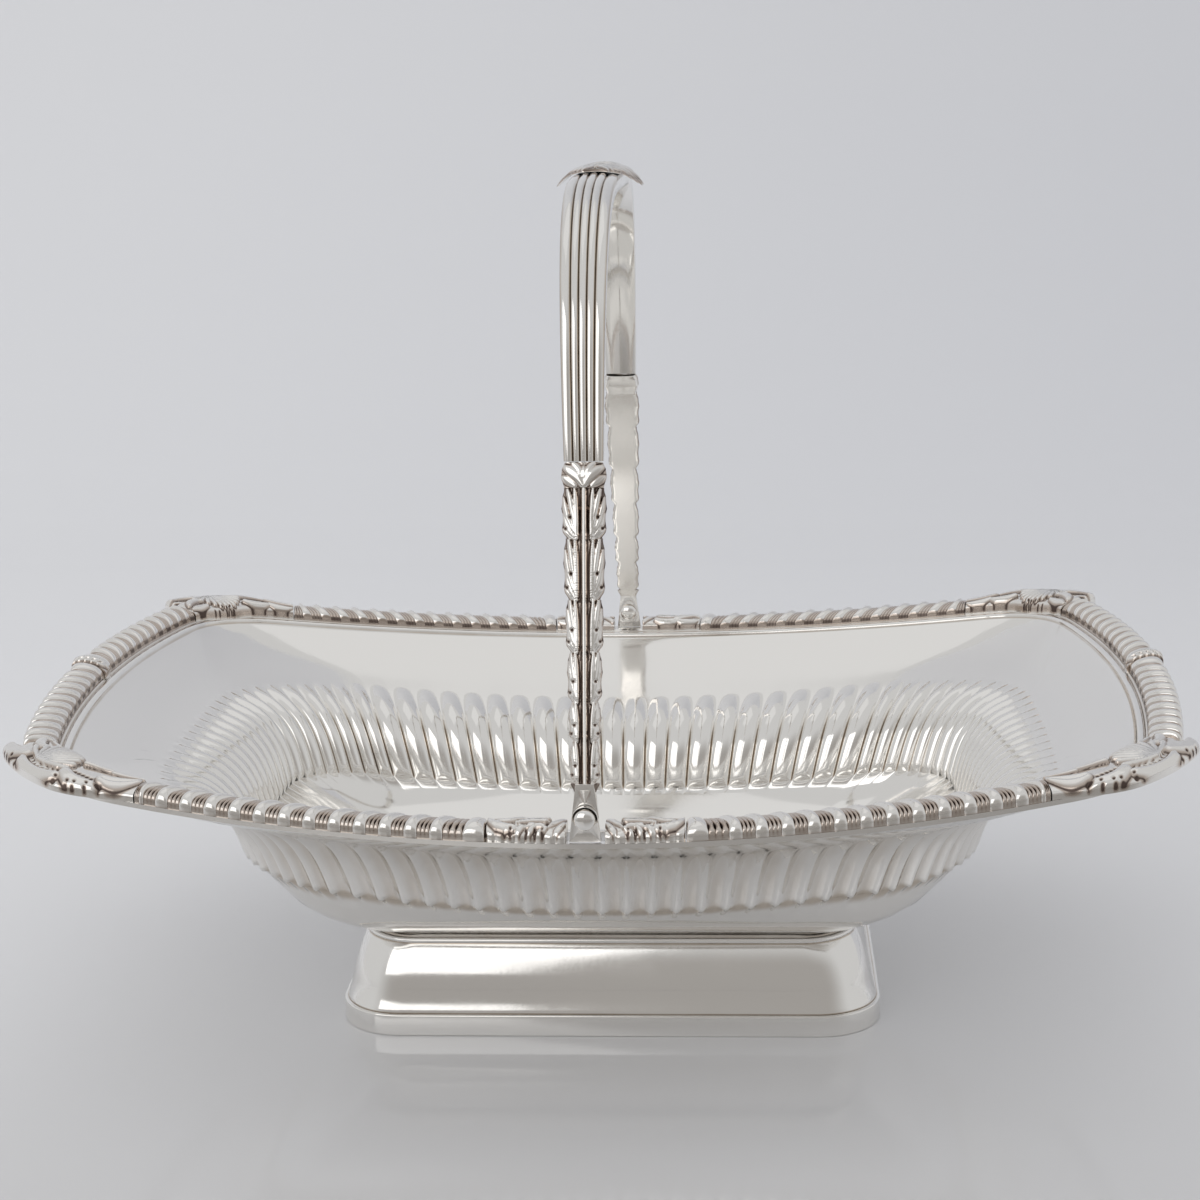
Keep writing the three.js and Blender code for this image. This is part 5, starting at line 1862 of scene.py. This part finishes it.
    def _arm(self, side: Side) -> Surface:
        """An arm with six tiers of leaves along a rib on its outer face.

        Args:
            side: The arm's side.

        Returns:
            The arm's points and relief.
        """
        total = self.arm_length()
        top = total - self.collar_length - 2 * self.gap
        cuts = [t * total for t in self.tiers] + [top]
        strokes: list[Stroke] = []
        eyes: list[Eye] = []
        for low, high in zip(cuts, cuts[1:]):
            length = high - low
            half = self._arm_half(low + 0.6 * length)
            for turn in (-1, 1):
                strokes += self._tier(low, length, half, turn)
                eyes.append(Eye(low + 0.42 * length, turn * 0.62 * half, 0.42, 0.9))
                eyes.append(Eye(low + 0.2 * length, turn * 0.8 * half, 0.4, 0.8))
        along = np.linspace(0.0, top, 330)
        share = along / total
        notch = np.zeros_like(along)
        for low, high in zip(cuts, cuts[1:]):
            inside = (along >= low) & (along <= high)
            part = np.clip((along - low) / (high - low), 0, 1)
            shape = 0.9 * (1 - ease(0.0, 0.14, part))
            lobe = 0.34 * np.abs(np.cos(2.5 * np.pi * part))
            notch += np.where(inside, shape + lobe + 0.9 * ease(0.8, 1.0, part), 0.0)
        half = self.arm_foot_width / 2 + (self.arm_top_width - self.arm_foot_width) / 2 * share - notch
        half = half - 0.9 * (1 - ease(0.0, 2.5, along))
        lateral = side_to_side(53)
        across = half[:, None] * lateral[None, :]
        carving = Carving(strokes, eyes, self.arm_ground)
        rise, relief = carving.mark(np.broadcast_to(along[:, None], across.shape), across)
        ridge = half_round(np.clip(across / self.rib, -1, 1))
        on_rib = np.abs(across) < self.rib_groove
        rise = np.where(on_rib, self.rib_rise * ridge, rise)
        relief = np.where(on_rib, ridge, relief)
        edge = half_round(lateral, 0.3)[None, :]
        shoulder = 0.5 - self.arm_thickness
        up = shoulder + (rise - self.rib_rise - shoulder) * edge
        back = np.full((len(along), 9), -self.arm_thickness)
        back_across = half[:, None] * np.linspace(0.93, -0.93, 9)[None, :]
        first = relief[:, :1]
        relief = np.concatenate([relief * edge**0.5, np.full(back.shape, 0.9), first], axis=1)
        return self._on_arm(side, along[:, None], closed(across, back_across), closed(up, back)), relief

    def _arm_half(self, along: float) -> float:
        """Half width of an arm at a distance up it."""
        share = along / self.arm_length()
        return (self.arm_foot_width + (self.arm_top_width - self.arm_foot_width) * share) / 2

    @staticmethod
    def _tier(low: float, length: float, half: float, turn: int) -> list[Stroke]:
        """The leaf tips of one tier on one side of the rib.

        Args:
            low: Where the tier starts.
            length: Its length.
            half: Half width of the arm.
            turn: Which side of the rib, by its sign.

        Returns:
            The strokes.
        """
        high = low + length
        inner = 1.9
        middle = 0.5 * (inner + 0.7 + half)
        lobes = [
            ((0.0, inner), (0.5, inner + 0.1), (1.03, inner + 0.7), 0.8, 1.8, 0.7),
            ((0.05, inner + 0.4), (0.5, inner + 1.0), (0.97, middle), 0.95, 1.7, 0.75),
            ((0.1, inner + 0.6), (0.35, 0.75 * half), (0.8, half - 0.6), 0.95, 1.55, 0.7),
            ((0.02, inner + 0.4), (0.1, 0.7 * half), (0.48, half - 0.55), 0.85, 1.4, 0.7),
            ((-0.02, inner), (0.0, 0.6 * half), (0.18, half - 0.6), 0.75, 1.25, 0.7),
        ]
        strokes = []
        for start, bend, end, width, height, widest in lobes:
            line = [(low + part * (high - low), turn * across) for part, across in (start, bend, end)]
            strokes.append(Stroke(*line, width, height, 0.55, 0.6, widest, 0.05))
        return strokes

    def _tongue(self, name: str, side: Side) -> bpy.types.Object:
        """The flat tongue below an arm, with the eye that the rivet goes through.

        Args:
            name: Name of the piece.
            side: The arm's side.

        Returns:
            The tongue.
        """
        turns = np.linspace(math.pi, math.tau, 21)
        outline = [(self.tongue_radius * math.cos(a), self.tongue_radius * math.sin(a)) for a in turns]
        top = self.arm_foot + 2.2
        neck = self.tongue_neck * self.tongue_radius
        outline += [(neck, top), (neck / 3, top), (-neck / 3, top), (-neck, top)]
        mesh = plate(outline, self.hinges.pin + self.hinges.running_gap, self.hinges.tongue_thickness)
        bevel_edges(mesh, 0.3, 3)
        set_relief(mesh, 1.0)
        shift = (0.0, side.value * self.hinges.tongue_face(), self.hinges.height())
        return mounted(name, mesh, side is Side.BACK, shift)

    def _tip(self, side: Side) -> Surface:
        """The leaf tip that runs down from an arm over the face of its tongue.

        Args:
            side: The arm's side.

        Returns:
            The tip's points and relief.
        """
        along = np.linspace(-3.2, 0.4, 14)
        share = np.linspace(0.0, 1.0, len(along))
        half = 0.2 + 1.9 * share
        lateral = np.linspace(-1, 1, 13)
        across = half[:, None] * lateral[None, :]
        crest = half_round(lateral, 0.6)[None, :]
        up = -0.15 + 0.45 * crest * (0.6 + 0.4 * share[:, None])
        relief = np.broadcast_to(0.15 + 0.85 * crest, up.shape)
        return self._on_arm(side, along[:, None], closed(across), closed(up)), closed(relief)

    def _collar(self, side: Side) -> Surface:
        """The leafy band that covers the joint between an arm and the bow.

        Args:
            side: The arm's side.

        Returns:
            The band's points and relief.
        """
        total = self.arm_length()
        proud = (self.collar_thickness - self.bow_thickness) / 2
        strokes = []
        for turn in (-1, 1):
            for line, form in (
                (((0.3, 0.3), (3.4, 1.6), (5.6, 5.4)), (1.7, 0.9, 0.5, 0.5, 0.6, 0.1)),
                (((0.2, 2.4), (1.6, 4.0), (2.6, 6.0)), (1.3, 0.75, 0.6, 0.6, 0.6)),
                (((2.6, 0.6), (5.2, 1.2), (6.5, 3.0)), (1.1, 0.8, 0.6, 0.5, 0.6)),
            ):
                strokes.append(Stroke(*((ahead, aside * turn) for ahead, aside in line), *form))
        strokes.append(Stroke((0.0, 0.0), (3.0, 0.0), (6.5, 0.0), 0.8, 0.85, 0.5, 0.3, 0.4, 0.2))
        along = np.linspace(-self.overlap, self.collar_length + self.overlap, 38)
        share = np.clip(along / self.collar_length, 0.0, 1.0)
        swell = 1 - 0.14 * (1 - np.sin(np.pi * share))
        half = self.collar_width / 2 * (swell - 0.025 * np.abs(np.sin(2.5 * np.pi * share)))
        lateral = side_to_side(45)
        across = half[:, None] * lateral[None, :]
        rise, relief = Carving(strokes).mark(np.broadcast_to(along[:, None], across.shape), across)
        crest = proud * (2 * swell - 1)
        edge = half_round(lateral, 0.28)[None, :]
        low = -self.bow_thickness / 2
        up = low + (crest[:, None] - 0.8 + rise - low) * edge
        back = -self.bow_thickness - crest
        rounding = 1 - half_round(np.linspace(0.9, -0.9, 9), 0.2)
        back_up = back[:, None] + (low - back[:, None]) * rounding[None, :]
        across = closed(across, half[:, None] * np.linspace(0.95, -0.95, 9)[None, :])
        relief = relief * (0.5 + 0.5 * edge)
        relief[-2:] = 0.8
        relief = closed(relief, np.full(back_up.shape, 0.9))
        start = total - self.gap - self.collar_length
        return self._on_arm(side, start + along[:, None], across, closed(up, back_up)), relief


# Studio


@dataclass(frozen=True)
class Softbox:
    """A rectangular lamp.

    Attributes:
        name: Name of the lamp.
        place, aim, size: Its middle, the point that it faces, and its width and height, in metres.
        radiance: Brightness of its face, where 1 is white.
    """

    name: str
    place: tuple[float, float, float]
    aim: tuple[float, float, float]
    size: tuple[float, float]
    radiance: float

    def hang(self) -> None:
        """Adds the lamp to the scene, out of the camera's sight."""
        data = bpy.data.lights.new(self.name, "AREA")
        data.shape = "RECTANGLE"
        data.size, data.size_y = self.size
        data.energy = self.radiance * math.pi * self.size[0] * self.size[1]
        lamp = bpy.data.objects.new(self.name, data)
        turn = (Vector(self.aim) - Vector(self.place)).to_track_quat("-Z", "Y")
        lamp.matrix_world = Matrix.Translation(self.place) @ turn.to_matrix().to_4x4()
        lamp.visible_camera = False
        bpy.context.scene.collection.objects.link(lamp)


@dataclass
class Studio:
    """Camera, lamps, floor and backdrop.

    Attributes:
        camera_place: Where the camera stands.
        yaw, pitch, roll: How far it turns right, looks down and tips to its side, in degrees.
        lens: Its focal length, on a sensor 36 mm wide.
        sweep_start, sweep_radius: Where behind the basket the floor curves up, and with what radius.
        sweep_half_width, sweep_top, sweep_front: How far the sheet reaches sideways, up and forwards.
        gloss: Roughness of the sheet.
        wall, floor: Colours of the backdrop and of the floor, each at the left and the right; the right
            ones are darker, a painted falloff of the front left softbox's light.
        near: Colour of the floor in front of the basket.
        sky: Light from all around.
        mirrored, mirrored_low: What metal mirrors of it, and what low behind the camera.
        lamps: The large softbox at the front left and the soft one overhead.
    """

    camera_place: tuple[float, float, float] = (43.5, -734.5, 290.6)
    yaw: float = -3.61
    pitch: float = 12.33
    roll: float = -1.2
    lens: float = 69.62
    sweep_start: float = 700.0
    sweep_radius: float = 1300.0
    sweep_half_width: float = 3000.0
    sweep_top: float = 2600.0
    sweep_front: float = -2600.0
    gloss: float = 0.09
    # Painted light: the right-hand colours are darker than the left-hand ones, painting the falloff of
    # the front left softbox's light across the sheet.
    wall: tuple[Colour, Colour] = ((0.83, 0.832, 0.845), (0.7, 0.705, 0.73))
    floor: tuple[Colour, Colour] = ((0.82, 0.82, 0.828), (0.78, 0.78, 0.788))
    near: Colour = (0.3, 0.285, 0.265)
    sky: Colour = (0.82, 0.825, 0.84)
    mirrored: Colour = (0.62, 0.62, 0.62)
    mirrored_low: Colour = (0.37, 0.355, 0.34)
    lamps: tuple[Softbox, ...] = (
        Softbox("front_softbox", (-0.64, -1.12, 0.68), (0.0, 0.0, 0.1), (1.24, 0.85), 0.9),
        Softbox("top_softbox", (-0.2, 0.2, 1.9), (0.0, 0.0, 0.0), (1.6, 1.4), 0.12),
    )

    def build(self) -> None:
        """Builds the studio."""
        self._camera()
        self._backdrop()
        for lamp in self.lamps:
            lamp.hang()
        self._world()
        bpy.context.scene.view_settings.view_transform = "Standard"

    def _camera(self) -> None:
        """Places the camera at the photograph's angle."""
        yaw, pitch, roll = (math.radians(a) for a in (self.yaw, self.pitch, self.roll))
        level_part = math.cos(pitch)
        ahead = Vector((math.sin(yaw) * level_part, math.cos(yaw) * level_part, -math.sin(pitch)))
        level = Vector((math.cos(yaw), -math.sin(yaw), 0.0))
        over = level.cross(ahead)
        right = math.cos(roll) * level + math.sin(roll) * over
        up = -math.sin(roll) * level + math.cos(roll) * over
        data = bpy.data.cameras.new("camera")
        data.lens = self.lens
        data.sensor_width = 36.0
        data.clip_start = 0.01
        data.clip_end = 50.0
        camera = bpy.data.objects.new("camera", data)
        turn = Matrix((right, up, -ahead)).transposed()
        camera.matrix_world = Matrix.Translation(Vector(self.camera_place) * MM) @ turn.to_4x4()
        bpy.context.scene.collection.objects.link(camera)
        bpy.context.scene.camera = camera

    def _backdrop(self) -> None:
        """A pale sheet that is the floor and curves up into the backdrop."""
        curve = [
            (self.sweep_start + self.sweep_radius * math.sin(a), self.sweep_radius * (1 - math.cos(a)))
            for a in np.linspace(0, math.pi / 2, 25)
        ]
        line = [(self.sweep_front, 0.0), *curve, (curve[-1][0], self.sweep_top)]
        mesh = bmesh.new()
        left = [mesh.verts.new((-self.sweep_half_width * MM, y * MM, z * MM)) for y, z in line]
        edges = [mesh.edges.new(pair) for pair in zip(left, left[1:])]
        moved = bmesh.ops.extrude_edge_only(mesh, edges=edges)["geom"]
        verts = [item for item in moved if isinstance(item, bmesh.types.BMVert)]
        bmesh.ops.translate(mesh, verts=verts, vec=(2 * self.sweep_half_width * MM, 0.0, 0.0))
        bmesh.ops.recalc_face_normals(mesh, faces=mesh.faces[:])
        if mesh.faces[:][0].normal.z < 0:
            bmesh.ops.reverse_faces(mesh, faces=mesh.faces[:])
        sheet = to_object("backdrop", mesh, 60.0)
        material, nodes, shader = shaded("pale_backdrop", Roughness=self.gloss, IOR=1.5)
        way = nodes.add("ShaderNodeSeparateXYZ")
        nodes.link(nodes.add("ShaderNodeTexCoord").outputs["Object"], way.inputs["Vector"])
        # Painted light: the sheet's colour darkens from left to right, standing in for the falloff of the
        # front left softbox's light.
        right = nodes.ramp(way.outputs["X"], -1.0, 1.0)
        back = nodes.ramp(way.outputs["Y"], 0.1, 1.2)
        level = nodes.blend(back, nodes.blend(right, *self.floor), nodes.blend(right, *self.wall))
        front = nodes.ramp(way.outputs["Y"], 0.02, -0.5)
        nodes.link(nodes.blend(front, level, self.near), shader.inputs["Base Color"])
        sheet.data.materials.append(material)

    def _world(self) -> None:
        """Pale surroundings, darker behind the camera where metal mirrors them."""
        world = bpy.data.worlds.new("studio")
        bpy.context.scene.world = world
        world.use_nodes = True
        nodes = NodeTree(world.node_tree)
        output = nodes.add("ShaderNodeOutputWorld")
        sky = nodes.add("ShaderNodeBackground")
        way = nodes.add("ShaderNodeSeparateXYZ")
        nodes.link(nodes.add("ShaderNodeTexCoord").outputs["Generated"], way.inputs["Vector"])
        front = nodes.ramp(way.outputs["Y"], -0.35, -0.9)
        low = nodes.ramp(way.outputs["Z"], 0.75, 0.3)
        glossy = nodes.add("ShaderNodeLightPath").outputs["Is Glossy Ray"]
        share = nodes.math("MULTIPLY", nodes.math("MULTIPLY", front, low), glossy)
        mirrored = nodes.blend(share, self.mirrored, self.mirrored_low)
        nodes.link(nodes.blend(glossy, self.sky, mirrored), sky.inputs["Color"])
        nodes.link(sky.outputs["Background"], output.inputs["Surface"])


def main() -> None:
    """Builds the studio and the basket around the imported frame."""
    logging.basicConfig(level=logging.INFO, format="%(name)s: %(message)s")
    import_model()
    Studio().build()
    shop = Workshop()
    hinges = Hinges(shop)
    for part in (BowlSheet(shop), Foot(shop), Border(shop), hinges, Handle(shop, hinges)):
        part.build()
        LOG.info("%s is in place", type(part).__name__)


if __name__ == "__main__":
    main()
